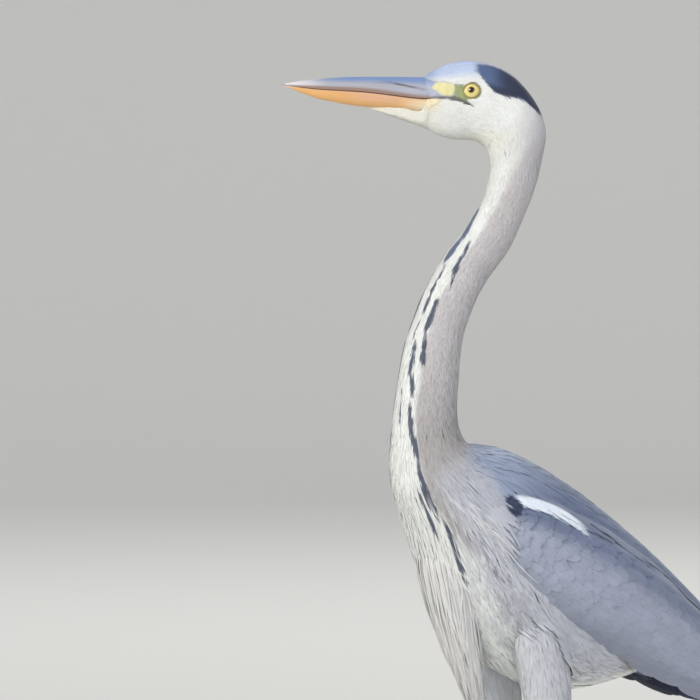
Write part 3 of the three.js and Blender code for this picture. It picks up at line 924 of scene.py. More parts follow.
def leg_skin(which):
    """Leg from hip to foot, with rows of low scutes down its front."""
    surface = leg(which)
    t = np.concatenate([np.linspace(0, 9, 70), np.linspace(9, len(LEG) - 1, 261)[1:]])[:, None]
    phi = turns(32)[None]
    t, phi = np.broadcast_arrays(t, phi)
    bare = ramp(t, 8.2, 9.2)
    up = surface(t, phi)[..., 2]
    front = ramp(np.cos(phi), -0.1, 0.5)
    plate = (up / LEG_SCUTE + 0.12 * np.cos(2 * phi)) % 1.0
    scute = 0.4 * plate * front * ramp(t, 11.5, 13.4)
    points = surface(t, phi, bare * scute - 1.6 * (1 - bare))
    colour = layered(
        np.broadcast_to(LEG_OLIVE, points.shape),
        (LEG_YELLOW, 0.7 * ramp(np.cos(phi), 0.2, -0.7)),
        # painted shade in the crease between one scute and the next
        (LEG_OLIVE * 0.5, bare * ramp(plate, 0.2, 0.0) * front),
        (thigh_pigment(t, phi), 1 - bare),
    )
    return tube(points, colour)


def on_foot(which, turn, distance, across, up):
    """Point of a foot, from its distance along a toe that points `turn` away from ahead."""
    ahead = distance * np.cos(turn) - across * np.sin(turn)
    left = distance * np.sin(turn) + across * np.cos(turn)
    return placed(np.stack(np.broadcast_arrays(
        SIDES[which] * LEG_SIDE + left, HIP_AHEAD + STEP[which] + ahead, up,
    ), -1))


def toe_skin(which, name):
    """A toe: a round bar that thins to its claw, with a pad under each joint and scutes
    along its top."""
    turn = math.radians(TOE_SPREAD[name]) * SIDES[which]
    distance = np.linspace(0.5, TOE_LENGTH[name], 96)[:, None]
    angle = turns(20)[None]
    distance, angle = np.broadcast_arrays(distance, angle)
    t = distance / TOE_LENGTH[name]
    plate = (distance / TOE_SCUTE) % 1.0
    top = ramp(np.cos(angle), 0.0, 0.8)
    pads = 0.5 * np.cos(2 * np.pi * TOE_JOINTS[name] * t)
    thick = 4.5 - 1.7 * t + pads + 0.22 * plate * top
    thick = thick * (1 - 0.36 * ramp(t, 0.9, 1.0) ** 2)
    up = np.maximum(thick * 0.9 + thick * np.cos(angle), 0.02 + 0.02 * np.abs(np.sin(angle)))
    points = on_foot(which, turn, distance, thick * np.sin(angle), up)
    colour = layered(
        np.broadcast_to(LEG_OLIVE, points.shape),
        # painted shade in the crease between one scute and the next
        (LEG_OLIVE * 0.55, top * ramp(plate, 0.16, 0.02)),
        (LEG_YELLOW, ramp(np.cos(angle), -0.2, -0.9)),
    )
    return tube(points, colour)


def ball(which):
    """The ball of the foot, where the toes meet the leg: a sphere flattened on the ground."""
    polar = np.linspace(0.12, np.pi - 0.12, 20)[:, None]
    angle = turns(28)[None]
    ring = FOOT_BALL * np.sin(polar)
    up = np.maximum(FOOT_BALL + FOOT_BALL * np.cos(polar), 0.03) + 0 * angle
    points = on_foot(which, 0.0, ring * np.cos(angle), ring * np.sin(angle), up)
    return tube(points, filled(LEG_OLIVE, up))


def union(name, shells):
    """Joins closed shells into one skin, keeping the pigment of each."""
    objects = []
    for number, (points, quads, fans, colours) in enumerate(shells):
        mesh = make_mesh(f"{name}_shell_{number}", points, quads, fans)
        add_colour(mesh, "Pigment", colours)
        obj = bpy.data.objects.new(mesh.name, mesh)
        bpy.context.scene.collection.objects.link(obj)
        objects.append(obj)
    first = objects[0]
    for other in objects[1:]:
        step = first.modifiers.new("join", "BOOLEAN")
        step.operation, step.object = "UNION", other
        step.solver = "MANIFOLD"
    bpy.context.view_layer.update()
    graph = bpy.context.evaluated_depsgraph_get()
    mesh = bpy.data.meshes.new_from_object(first.evaluated_get(graph))
    mesh.name = name
    for obj in objects:
        bpy.data.objects.remove(obj)
    mesh.materials.clear()
    mesh.polygons.foreach_set("use_smooth", np.ones(len(mesh.polygons), bool))
    return mesh


def settle(mesh, centres, reach, rounds):
    """Rounds off the joins round each centre, in millimetres: every point moves to
    p + w (mean of its neighbours - p), w falling to nothing at `reach`, and its pigment
    likewise. Points the join has made take their whole pigment from their neighbours."""
    count = len(mesh.vertices)
    points, colours = np.empty(count * 3, np.float32), np.empty(count * 4, np.float32)
    ends = np.empty(len(mesh.edges) * 2, np.int32)
    mesh.vertices.foreach_get("co", points)
    layer = mesh.color_attributes["Pigment"].data
    layer.foreach_get("color", colours)
    mesh.edges.foreach_get("vertices", ends)
    values = np.concatenate([points.reshape(-1, 3), colours.reshape(-1, 4)[:, :3]], 1).astype(float)
    away = np.min([np.linalg.norm(values[:, :3] - c * 0.001, axis=1) for c in centres], 0)
    weight = 0.6 * ramp(away, reach * 0.001, reach * 0.0005)
    made = values[:, 3:].min(1) > 0.999
    lowest = values[:, 2].copy()
    pairs = ends.reshape(-1, 2)
    pairs = np.concatenate([pairs, pairs[:, ::-1]])
    pairs = pairs[(weight[pairs[:, 0]] > 0) | made[pairs[:, 0]]]
    for _ in range(rounds):
        known = ~made[pairs[:, 1]] * 1.0
        for k in range(6):
            share = known if k > 2 else np.ones(len(pairs))
            total = np.bincount(pairs[:, 0], share, count)
            sum_of = np.bincount(pairs[:, 0], share * values[pairs[:, 1], k], count)
            mean = np.where(total > 0, sum_of / np.maximum(total, 1), values[:, k])
            part = np.where(made & (k > 2), 1.0, weight)
            values[:, k] += part * (mean - values[:, k])
        found = np.bincount(pairs[:, 0], known, count) > 0
        made &= ~found
    values[:, 2] = np.where(lowest < 0.0002, lowest, values[:, 2])
    mesh.vertices.foreach_set("co", values[:, :3].astype(np.float32).ravel())
    colours = np.concatenate([values[:, 3:], np.ones((count, 1))], 1)
    layer.foreach_set("color", colours.astype(np.float32).ravel())
    mesh.update()


def make_skin():
    """All flesh in one skin: body, eyelids, wings, legs, feet and toes."""
    shells = [body_skin()]
    for which in SIDES:
        shells.append(lids(which))
        shells.append(wing_skin(which))
        shells.append(leg_skin(which))
        shells.append(ball(which))
        shells.extend(toe_skin(which, name) for name in TOE_SPREAD)
    flesh = ["head", "neck_upper", "neck_middle", "neck_lower", "trunk"]
    for which in SIDES:
        flesh += [f"thigh_{which}", f"shin_{which}", f"shank_{which}", f"foot_{which}"]
        flesh += [f"toe_{name}_{which}" for name in TOE_SPREAD]
    material = living_skin("bird_skin")
    mesh = union("skin", shells)
    centres = [on_foot(which, 0.0, 6.0, 0.0, 8.0) for which in SIDES]
    settle(mesh, centres, 26.0, 30)
    return show("skin", mesh, material, flesh)


# ---- bill, eyes and claws -------------------------------------------------------------------------
# Rows (ahead, ridge, mouth's edge, underside, half width).
BILL = np.array([
    [36, 890.6, 873.0, 864.0, 9.0], [42, 891.4, 873.0, 862.4, 9.6],
    [48.6, 891.6, 872.8, 861.4, 9.5], [66, 891.8, 874.6, 863.0, 8.9],
    [84, 891.9, 877.0, 864.8, 8.2], [98, 891.9, 878.6, 866.0, 7.5],
    [112, 891.7, 879.6, 867.8, 6.6], [126, 891.0, 880.4, 870.4, 5.5],
    [140, 890.0, 881.3, 873.6, 4.2], [154, 888.4, 882.9, 878.4, 2.6],
    [164, 886.8, 884.4, 882.4, 1.3], [169, 885.7, 885.0, 884.2, 0.45],
])


def horn(name, roughness, streak):
    """Horn of bill and claws: keratin, smooth and a little waxy, with fine growth lines
    along it."""
    material, tree, surface = shader(name)
    pigment = stored(tree, "Pigment")
    # the map is in millimetres; growth lines lie about 0.7 mm apart and run 25 mm
    lines = noise(tree, stretched(tree, "Grain", (0.04, 1.4, 1.0)), 1.0, 4.0)
    tone = remap(tree, lines, 0.3, 0.7, 1.0 - streak, 1.0 + streak)
    feed(tree, surface, {
        "Base Color": shaded(tree, pigment, tone),
        "Normal": relief(tree, lines, 0.25, 0.0003),
        "Roughness": roughness,
        "Coat Weight": 0.15,
    })
    return material


def piece(name, shell, material, grain=None):
    """Makes a shown piece of one closed shell, for the part of the same name."""
    points, quads, fans, colours = shell
    mesh = make_mesh(name, points, quads, fans)
    add_colour(mesh, "Pigment", colours)
    if grain is not None:
        add_uv(mesh, "Grain", grain)
    return show(name, mesh, material, [name])


def grain_of(length, across):
    """Grain map, in millimetres, of a tube's rings and of its two end points."""
    flat = np.stack(np.broadcast_arrays(length, across), -1).reshape(-1, 2)
    return np.concatenate([flat, flat[:1], flat[-1:]])


def bill_lines(ahead):
    """The bill's ridge, mouth's edge, underside and half width at distances ahead."""
    rows = spline(BILL, np.interp(ahead[:, 0], BILL[:, 0], np.arange(len(BILL))))
    return (rows[:, k:k + 1] for k in (1, 2, 3, 4))


def bowed(a, half, power):
    """Half width times the sine of the angle a, its size raised to a power."""
    return half * np.sign(np.sin(a)) * np.abs(np.sin(a)) ** power


def bill_piece(name, ahead, a, under, half, left, up, share, thin, colour, material):
    """One half of the bill. Its inner side, which `under` runs across, is brown like a
    mouth, and so is the outer side below the share `thin` of its height."""
    girth = np.concatenate([a * half, under * half], 1)
    inner = (np.arange(share.shape[1]) >= a.shape[1])[None] | (share < thin)
    colour = np.where(inner[..., None], MOUTH_BROWN, colour)
    shell = tube(placed(np.stack([left, ahead + 0 * left, up], -1)), colour)
    return piece(name, shell, material, grain_of(ahead, girth))


def bill_upper(material):
    """Upper bill: a roof-like section of width w and height h, x = w sin a |sin a|^0.1,
    z = h |cos a|^1.15, with a nasal groove, the slit of a nostril and a closed palate."""
    ahead = np.concatenate([
        np.linspace(36, 76, 130, endpoint=False), np.linspace(76, 150, 130, endpoint=False),
        np.linspace(150, 169.4, 50),
    ])[:, None]
    ridge, mouth, _, half = bill_lines(ahead)
    half = np.maximum(half, 0.25)
    a = np.linspace(-np.pi / 2, np.pi / 2, 97)[None]
    high = ridge - mouth
    up = mouth + high * np.abs(np.cos(a)) ** 1.15
    share = (up - mouth) / high
    groove = np.exp(-((share - 0.62) / 0.1) ** 2) * ramp(ahead, 124, 84) * 0.55
    line = np.interp(ahead, [47, 78], [880.6, 887.0])
    slit = np.exp(-((up - line) / 0.42) ** 2) * ramp(ahead, 52, 57) * ramp(ahead, 76, 70)
    trail = np.exp(-((up - line) / 1.1) ** 2) * ramp(ahead, 44, 50) * ramp(ahead, 96, 74)
    left = bowed(a, half, 1.1) - (groove + 1.1 * slit) * np.sign(a)
    under = np.linspace(1, -1, 25)[None, 1:-1]
    palate = mouth + 0.5 + 1.2 * (1 - under ** 2) * half / 9
    left = np.concatenate([left, 0.94 * half * under], 1)
    up = np.concatenate([up, palate], 1)
    share = (up - mouth) / high
    slit, trail = (np.pad(mark, ((0, 0), (0, under.shape[1]))) for mark in (slit, trail))
    edge = np.interp(ahead, [48, 100, 140, 165], [0.13, 0.24, 0.28, 0.2])
    colour = layered(
        filled(UPPER_SIDE, up),
        (CULMEN_BLUE, ramp(share, 0.5, 0.86) * ramp(ahead, 158, 110)),
        (FACE_GREY, 0.7 * ramp(ahead, 84, 50) * ramp(share, 0.8, 0.4)),
        (UPPER_TIP, 0.8 * ramp(ahead, 128, 162) * ramp(share, 0.2, 0.5)),
        (UPPER_EDGE, ramp(share, edge + 0.12, edge - 0.08) * ramp(ahead, 166, 150)),
        # painted shade along the nasal groove, and in the nostril's slit
        (SLATE, 0.4 * trail),
        (MOUTH_BROWN, 0.8 * slit),
    )
    return bill_piece(
        "bill_upper", ahead, a, under, half, left, up, share, 0.035, colour, material,
    )


def bill_lower(material):
    """Lower bill: a keel-like section of width w and height h under the mouth's edge,
    x = w sin a |sin a|^-0.05, z = -h |cos a|^0.95, narrower than the upper bill by its
    overhang, with a shallow trough for the tongue."""
    ahead = np.concatenate([
        np.linspace(36, 150, 150, endpoint=False), np.linspace(150, 168.2, 40),
    ])[:, None]
    _, mouth, keel, half = bill_lines(ahead)
    mouth, half = mouth - 0.15, np.maximum(half - 0.45, 0.2)
    a = np.linspace(-np.pi / 2, np.pi / 2, 73)[None]
    deep = mouth - keel
    up = mouth - deep * np.abs(np.cos(a)) ** 0.95
    under = np.linspace(1, -1, 21)[None, 1:-1]
    trough = mouth - 1.5 * (1 - under ** 2) * half / 9
    share = np.pad((mouth - up) / deep, ((0, 0), (0, under.shape[1])))
    left = np.concatenate([bowed(a, half, 0.95), 0.93 * half * under], 1)
    up = np.concatenate([up, trough], 1)
    colour = layered(
        filled(LOWER_ORANGE, up),
        (LOWER_PINK, 0.7 * ramp(np.abs(ahead - 88), 34, 8) * ramp(share, 0.9, 0.3)),
        (LOWER_BASE, ramp(ahead, 74, 46) * ramp(share, -0.6, 0.6)),
        (UPPER_TIP, 0.5 * ramp(ahead, 156, 168)),
        (LOWER_PINK, 0.5 * ramp(share, 0.3, 0.0)),
    )
    return bill_piece(
        "bill_lower", ahead, a, under, half, left, up, share, 0.012, colour, material,
    )


def eye_material():
    """Wet eye: a clear glossy front over a yellow iris with fine spokes and a black pupil."""
    material, tree, surface = shader("wet_eye")
    feed(tree, surface, {
        "Base Color": stored(tree, "Pigment"),
        "Roughness": 0.25,
        "Specular IOR Level": 0.3,
        "Coat Weight": 0.5,
    })
    return material


def eyeball(which, material):
    """Eye: a sphere about the gaze, with rings of colour by the angle from it."""
    side = SIDES[which]
    axis = eye_axis(side)
    ahead = np.cross(axis, [0, 0, 1.0])
    ahead /= np.linalg.norm(ahead)
    up = np.cross(ahead, axis)
    polar = np.concatenate([np.linspace(0.01, 0.85, 70), np.linspace(0.87, 3.12, 30)])[:, None]
    v = turns(120)[None]
    away = EYE_RADIUS * np.sin(polar)
    bulge = 0.35 * ramp(away, 6.0, 2.0) * (polar < 1.5)
    reach = EYE_RADIUS + bulge
    points = eye_centre(side) + (
        (reach * np.cos(polar) + 0 * v)[..., None] * axis
        + (reach * np.sin(polar) * np.cos(v))[..., None] * ahead
        + (reach * np.sin(polar) * np.sin(v))[..., None] * up
    )
    away = away + 0 * v
    spokes = 0.5 + 0.25 * np.sin(23 * v + 3 * np.sin(5 * v)) + 0.25 * np.sin(41 * v + 1.3)
    colour = layered(
        np.broadcast_to(IRIS_YELLOW, points.shape),
        (IRIS_GOLD, 0.85 * ramp(away + 0.4 * spokes, 3.9, 2.7)),
        (IRIS_GOLD * 0.7, 0.4 * ramp(away, 5.3, 6.2) + 0.12 * spokes),
        (PUPIL, ramp(away, 2.6, 2.3)),
        (EYE_RIM, ramp(away, 6.7, 7.2) + (polar > 1.2)),
    )
    return piece(f"eye_{which}", tube(placed(points), colour), material)


def claw(which, name, material):
    """Claw: a bent spike whose radius is 2.3 (1 - t)^0.8 + 0.25 along its run, flat-sided."""
    turn = math.radians(TOE_SPREAD[name]) * SIDES[which]
    t = np.linspace(0, 1, 48)[:, None]
    angle = turns(24)[None]
    thick = 2.3 * (1 - t) ** 0.8 + 0.25
    rise = 3.4 * (1 - t) + 1.6 * np.sin(np.pi * t)
    reach = TOE_LENGTH[name] - 1.2 + (CLAW_LENGTH[name] + 1.5) * t
    up = np.maximum(rise + thick * np.cos(angle), 0.02)
    points = on_foot(which, turn, reach + 0 * angle, 0.7 * thick * np.sin(angle), up)
    colour = np.broadcast_to(CLAW_BROWN, points.shape)
    colour = tint(colour, CLAW_BROWN * 2.2, 0.6 * ramp(t, 0.6, 1.0) + 0 * angle)
    grain = grain_of(reach, angle * thick)
    return piece(f"claw_{name}_{which}", tube(points, colour), material, grain)


# ---- plumage ----------------------------------------------------------------------------------------
LEAST_STEP = 6.0  # millimetres to one unit of t
FULL_TURN = (0, 2 * np.pi)


def around(surface, t, u):
    """Lengths that turn a step on a surface into parameter steps: one unit of t is `lt`
    long, and one unit of u is `mix` along t and `lu` square to it."""
    e = 0.004
    pt = (surface(t + e, u) - surface(t - e, u)) / (2 * e)
    pu = (surface(t, u + e) - surface(t, u - e)) / (2 * e)
    true = np.maximum(np.linalg.norm(pt, axis=-1), 1e-6)
    mix = (pt * pu).sum(-1) / true
    lu = np.sqrt(np.maximum((pu * pu).sum(-1) - mix * mix, 1.0))
    # where lines of t bunch up in the crook of a bend, steps are kept short
    lt = np.maximum(true, LEAST_STEP if t.size and true.mean() > LEAST_STEP else 0.0)
    return lt, mix, lu


def moved(t, u, metric, along, across):
    """Parameters of the point `along` and `across` millimetres away on the surface."""
    lt, mix, lu = metric
    du = across / lu
    return t + along / lt - np.clip(mix * du / lt, -0.3, 0.3), u + du


def scatter(surface, t_span, u_span, size, cover, seed, keep=None):
    """Even, unordered roots over a surface. `size` gives rows (t, length, width); the
    number is such that the tufts would cover the surface `cover` times. The golden-ratio
    pair (0.7549, 0.5698) fills the plane, and inverse sums of area map it to the surface."""
    t = np.linspace(*t_span, 121)
    u = np.linspace(*u_span, 49)
    mid_t, mid_u = (t[1:] + t[:-1]) / 2, (u[1:] + u[:-1]) / 2
    grid_t, grid_u = np.meshgrid(mid_t, mid_u, indexing="ij")
    lt, _, lu = around(surface, grid_t, grid_u)
    length = np.interp(grid_t, size[:, 0], size[:, 1])
    width = np.interp(grid_t, size[:, 0], size[:, 2])
    weight = lt * lu * (t[1] - t[0]) * (u[1] - u[0]) / (length * width)
    count = int(cover * weight.sum())
    i = np.arange(count)
    first, second = (seed + 0.7548776662 * i) % 1, (seed * 7 + 0.5698402910 * i) % 1
    rows = np.concatenate([[0], np.cumsum(weight.sum(1))])
    at_t = np.interp(first * rows[-1], rows, t)
    row = np.clip(np.searchsorted(t, at_t) - 1, 0, len(mid_t) - 1)
    share = np.cumsum(weight, 1) / weight.sum(1, keepdims=True)
    share = np.concatenate([np.zeros((len(share), 1)), share * 0.999999], 1)
    knots = (share + np.arange(len(share))[:, None]).ravel()
    at_u = np.interp(second * 0.999999 + row, knots, np.tile(u, len(share)))
    dice = np.random.default_rng(int(seed * 1000))
    tufts = {
        "t": at_t, "u": at_u, "dice": dice,
        "length": np.interp(at_t, size[:, 0], size[:, 1]) * dice.uniform(0.82, 1.15, count),
        "width": np.interp(at_t, size[:, 0], size[:, 2]) * dice.uniform(0.85, 1.15, count),
    }
    if keep is None:
        return tufts
    chosen = keep(at_t, at_u)
    return {k: v if k == "dice" else v[chosen] for k, v in tufts.items()}


# Each outline: rows (share of the length, share of the half width), how far its tip is
# swept back, and how much its rows gather towards the tip.
OUTLINES = {
    "lance": ([[0, 0.5], [0.2, 0.9], [0.4, 1], [0.6, 0.86], [0.8, 0.58], [1, 0.1]], 0.0, 1.0),
    "lock": ([[0, 0.55], [0.2, 0.9], [0.4, 1], [0.6, 0.95], [0.8, 0.75], [1, 0.3]], 0.12, 1.0),
    "plume": ([[0, 0.4], [0.15, 0.85], [0.4, 1], [0.65, 0.82], [0.85, 0.5], [1, 0.06]], 0.0, 1.2),
    "vane": ([[0, 0.4], [0.2, 0.85], [0.4, 1], [0.7, 1], [0.84, 0.88], [0.93, 0.66],
              [0.98, 0.38], [1, 0.1]], 0.0, 1.5),
    "quill": ([[0, 0.4], [0.1, 0.62], [0.25, 0.85], [0.45, 1], [0.87, 1], [0.94, 0.84],
               [0.975, 0.62], [0.993, 0.36], [1, 0.08]], 0.0, 1.5),
}


def lay(surface, tufts, outline, rows, columns, depth, tip=0.0, heading=0.0, sway=0.12,
        ragged=0.1, camber=0.05, loose=0.04, drape=None, clear=None):
    """Lays tufts on a surface. Each one's middle line walks over the surface from its root
    with steps measured there; across it, points stand at equal steps of the outline's
    width. Height over the surface is -depth (1 - s)^1.6 + tip s^2 + chance, less camber
    times the width there times the square of the share c from the middle. `drape` may
    lift the points, and tufts with points where `clear` is true are left out."""
    t, u, dice = tufts["t"], tufts["u"], tufts["dice"]
    count = len(t)
    length, width = tufts["length"], tufts["width"]
    lean = heading + dice.normal(0, sway, count)
    curl = dice.normal(0, sway * 0.8, count)
    profile, roundness, gather = OUTLINES[outline]
    s = 1 - (1 - np.linspace(0, 1, rows)) ** gather
    c = np.linspace(-1, 1, columns)
    half = np.interp(s, *np.transpose(profile))
    fray = ragged * dice.uniform(-1, 0.3, (count, 1, columns)) * s[None, :, None] ** 3
    swept = roundness * (c * c)[None, None] * (width / length)[:, None, None]
    fray = fray - swept * s[None, :, None] ** 2
    across = width[:, None, None] / 2 * half[None, :, None] * c[None, None]
    place_t, place_u = np.empty((count, rows, columns)), np.empty((count, rows, columns))
    for i in range(rows):
        metric = around(surface, t, u)
        angle = lean + curl * s[i]
        cos, sin = np.cos(angle)[:, None], np.sin(angle)[:, None]
        a, w = fray[:, i] * length[:, None], across[:, i]
        place_t[:, i], place_u[:, i] = moved(
            t[:, None], u[:, None], [m[:, None] for m in metric],
            a * cos - w * sin, a * sin + w * cos,
        )
        step = length * (s[min(i + 1, rows - 1)] - s[i])
        t, u = moved(t, u, metric, step * cos[:, 0], step * sin[:, 0])
    chance = dice.uniform(-0.07, 0.07, count) * depth
    high = -depth * (1 - s) ** 1.6 + tip * s ** 2
    high = high + chance[:, None] + loose * depth * dice.normal(0, 1, count)[:, None] * s ** 2
    high = high[..., None] - camber * width[:, None, None] * half[:, None] * (c * c)
    points = surface(place_t, place_u, high)
    if drape is not None:
        points = drape(points, high)
    laid = {
        "points": points, "t": place_t, "u": place_u, "length": length, "across": across,
        "tone": dice.uniform(0, 1, count), "root": np.stack([tufts["t"], tufts["u"]], -1),
        "drift": dice.uniform(0, 400, count),
    }
    if clear is not None:
        kept = ~clear(straightened(points[:, rows // 3:])).any((1, 2))
        laid = {k: v[kept] for k, v in laid.items()}
    return laid | {"s": s, "c": c}


def over_wing(points, high):
    """Lifts points sideways so that they lie on a folded wing, not inside it."""
    p = straightened(points)
    left = p[..., 0]
    wanted = wing_reach(p[..., 1], p[..., 2]) + 1.8 + 0.5 * high
    p[..., 0] = np.sign(left) * np.maximum(np.abs(left), wanted)
    return placed(p)


def over_thigh(points, high):
    """Lifts points sideways off the thighs, then off the wings."""
    p = straightened(points)
    left, ahead, up = p[..., 0], p[..., 1], p[..., 2]
    side = np.sign(left)
    order = LEG[::-1]
    middle, deep, wide = (np.interp(up, order[:, 1], order[:, k]) for k in (0, 2, 3))
    hip, _ = leg_line(up, HIP_AHEAD + np.where(side > 0, STEP["left"], STEP["right"]))
    away = (ahead - middle - hip) / (deep + 2)
    out = HIP_SIDE + (wide + 3.0) * np.sqrt(np.clip(1 - away ** 2, 0, 1)) + 0.5 * high
    wanted = np.where((np.abs(away) < 1) & (up < THIGH_TOP), out, 0)
    p[..., 0] = side * np.maximum(np.abs(left), wanted)
    return placed(p)


def strand_set(t, u, length, width, seed):
    """Tufts given one by one."""
    t, u, length, width = np.broadcast_arrays(*(np.asarray(v, float) for v in (t, u, length, width)))
    return {"t": t, "u": u, "length": length, "width": width, "dice": np.random.default_rng(seed)}


def quills(sheet, root, tip, width, seed, height):
    """Long stiff feathers laid from a row of roots to a row of tips on a wing's sheet."""
    run, rise = tip[0] - root[0], tip[1] - root[1]
    tufts = strand_set(root[0], root[1], np.hypot(run, rise), width, seed)
    return lay(
        sheet, tufts, "quill", 34, 11, 3.0, tip=height, sway=0.01,
        heading=np.arctan2(rise, run), ragged=0.008,
    )


def stripe_middle(ahead):
    """Height of the white stripe's middle line."""
    return np.interp(
        -ahead, [-2, 6, 25, 43, 58, 74, 200, 300], [531, 530.3, 526.5, 520.5, 512.9, 503, 421, 366],
    )


def stripe_amount(ahead, up):
    """White stripe of the wing's front edge, from the bend backwards."""
    middle = stripe_middle(ahead)
    wide = np.interp(-ahead, [-3, 3, 43, 58, 74], [2.4, 5.2, 5.4, 6.2, 5.2])
    return ramp(np.abs(up - middle), wide + 1.2, wide - 1) * ramp(ahead, 3, -3) * ramp(-ahead, 80, 64)


def patch_amount(ahead, up):
    """Dark patch at the wing's bend."""
    return ramp(np.hypot((ahead - 7.2) / 8.4, (up - 527.8) / 9.0), 1.12, 0.82)


def across_thigh(p):
    """True where a flank feather would cross the front of a thigh."""
    ahead, up = p[..., 1], p[..., 2]
    return (up < 407) & (ahead > HIP_AHEAD + np.interp(up, [336, 438], [-12, 4]))


def across_wing(p):
    """True where a feather of the body would lie across the wing below its stripe."""
    ahead, up = p[..., 1], p[..., 2]
    return (wing_reach(ahead, up) > 0) & (ahead < 4) & (up < stripe_middle(ahead) - 7)


def near_marks(surface, t, q):
    """True for small feathers whose middle lies in the stripe or the patch."""
    p = straightened(surface(t, q)) + np.array([0, -6.0, -3.0])
    return np.maximum(stripe_amount(p[..., 1], p[..., 2]), patch_amount(p[..., 1], p[..., 2])) > 0.5


def wing_pigment(side):
    """Colour of a folded wing's small feathers, with the dark patch and the white stripe."""
    surface = wing(side)

    def paint(t, q):
        """Colour at a place of the surface."""
        _, ahead, up = np.moveaxis(straightened(surface(t, q)), -1, 0)
        # painted shade: the wing darkens to the back's deep grey towards its upper edge
        colour = tint(filled(WING_GREY, t), BACK_DEEP_AND_SHADE, 0.85 * ramp(q, 0.5, 0.75))
        colour = tint(colour, SLATE, 0.3 * ramp(q, 0.22, 0.0) * ramp(t, 2, 5))
        colour = tint(colour, STRIPE_WHITE, stripe_amount(ahead, up))
        return tint(colour, SLATE, patch_amount(ahead, up))

    return paint


def coat(name, layers, pigment, material, barbs, spread=0.0, replaces=()):
    """Joins laid tufts into one piece. Barbs run along a silky tuft, or slant outwards
    from the middle of a vane; the Vane map is (distance along them, distance across them).
    A tuft takes the colour of its own middle, or with `spread` of a share of its extent."""
    points, quads, colours, tufts, vanes, bakes = [], [], [], [], [], []
    start = 0
    low = np.min([layer["root"].min(0) for layer in layers], 0)
    high = np.max([layer["root"].max(0) for layer in layers], 0)
    for layer in layers:
        count, rows, columns = layer["t"].shape
        tone, length, drift = (layer[key][:, None, None] for key in ("tone", "length", "drift"))
        k = int(rows * 0.62)
        middle = [layer[key][:, k, columns // 2][:, None, None] for key in "tu"]
        # so that a mark ends raggedly, a silky tuft takes its colour a little way off
        chance = tone - 0.5, (tone * 7) % 1 - 0.5
        paint = pigment(*(
            at + spread * (layer[key] - at) + (barbs == "silk") * (
                0.4 * chance[0] * (layer[key][:, -1:, :1] - layer[key][:, :1, :1])
                + 0.9 * chance[1] * (layer[key][:, k:k + 1, -1:] - layer[key][:, k:k + 1, :1])
            )
            for key, at in zip("tu", middle)
        ))
        s = np.broadcast_to(layer["s"][None, :, None], layer["t"].shape)
        c = np.broadcast_to(layer["c"][None, None], layer["t"].shape)
        run = s * length + drift
        side = layer["across"] + drift * 1.7
        slant = run - 1.2 * np.abs(layer["across"])
        lane = (side, slant) if barbs == "vane" else (run, side)
        base = (layer["root"] - low) / np.maximum(high - low, 1e-6) * 0.99 + 0.005
        bake = base[:, None, None] + 0.0014 * np.stack([s * 2 - 1, c], -1)
        face = grid_faces(rows, columns)
        offset = start + np.arange(count) * rows * columns
        quads.append((face[None] + offset[:, None, None]).reshape(-1, 4))
        start += count * rows * columns
        points.append(layer["points"].reshape(-1, 3))
        colours.append(np.broadcast_to(paint, layer["points"].shape).reshape(-1, 3))
        tufts.append(np.stack([s, tone + 0 * s, np.abs(c)], -1).reshape(-1, 3))
        vanes.append(np.stack(lane, -1).reshape(-1, 2))
        bakes.append(bake.reshape(-1, 2))
    mesh = make_mesh(name, np.concatenate(points), np.concatenate(quads))
    add_colour(mesh, "Pigment", np.concatenate(colours))
    add_colour(mesh, "Tuft", np.concatenate(tufts))
    add_uv(mesh, "Vane", np.concatenate(vanes))
    add_uv(mesh, "OFBake", np.concatenate(bakes))
    return show(name, mesh, material, replaces)


# Rows (t, length, width) of tufts on each part of the bird.
HEAD_TUFTS = np.array([
    [0, 4.6, 1.1], [4, 3.4, 0.9], [6, 4.2, 1.0], [8, 5.4, 1.15], [10, 7, 1.3], [12, 9.5, 1.4],
    [14, 11.5, 1.5],
])
NECK_TUFTS = np.array([[12, 9, 1.4], [16, 13, 1.6], [20, 16, 1.8], [24, 22, 2.2], [27, 34, 3.0]])
TRUNK_TUFTS = np.array([
    [24, 24, 4], [26, 30, 5], [29, 36, 7], [33, 38, 8], [35, 34, 7], [37, 26, 5],
])
THREADS = np.array([[25, 56, 0.9], [28, 66, 1.0]])
FLANK_TUFTS = np.array([[27, 40, 3.2], [30, 50, 3.8], [33, 44, 3.8]])
LONG_TUFTS = np.array([[26, 56, 6], [29, 80, 7], [32, 96, 8]])
MANTLE_TUFTS = np.array([[24, 24, 3.0], [26, 34, 4.8], [29, 46, 6.4], [33, 52, 7.4], [37, 48, 6.8]])
COVERTS = np.array([
    [0, 11, 5], [1, 14, 6.4], [2, 20, 8.6], [3, 29, 11], [4.5, 42, 14], [6.6, 54, 16],
])
MARK_TUFTS = np.array([[0, 9, 2.6], [2, 12, 3.2], [4.4, 15, 3.6]])
PLUME_TUFTS = np.array([[0, 95, 2.4], [2, 80, 2.2], [4, 60, 1.9], [6, 40, 1.6], [8, 22, 1.2]])
THIGH_TUFTS = np.array([[0, 28, 2.7], [4, 24, 2.4], [7, 17, 2.1], [9.5, 7, 1.5]])


def covered(t, phi, out=0.0):
    """The body's surface with its face shaped about the eyes."""
    t, phi, out = np.broadcast_arrays(t, phi, out)
    p = around_eye(body(t, phi, out), out + coat_depth(t))
    p[..., 2] += chin_lift(t, phi)
    return placed(p)


def free_of_wing(t, phi):
    """True where no wing lies over the body, with a millimetre to spare."""
    p = body(t, phi)
    return np.abs(p[..., 0]) > wing_reach(p[..., 1], p[..., 2]) + 1.0


def feathered_face(t, phi):
    """True where the head bears feathers: not on bare skin or in the root of the bill."""
    p = body(t, phi)
    bare = bare_head(t, p)
    return (bare < 0.4) & ((t > CHIN_END + 0.15) | (off_front(phi) < 2.2))


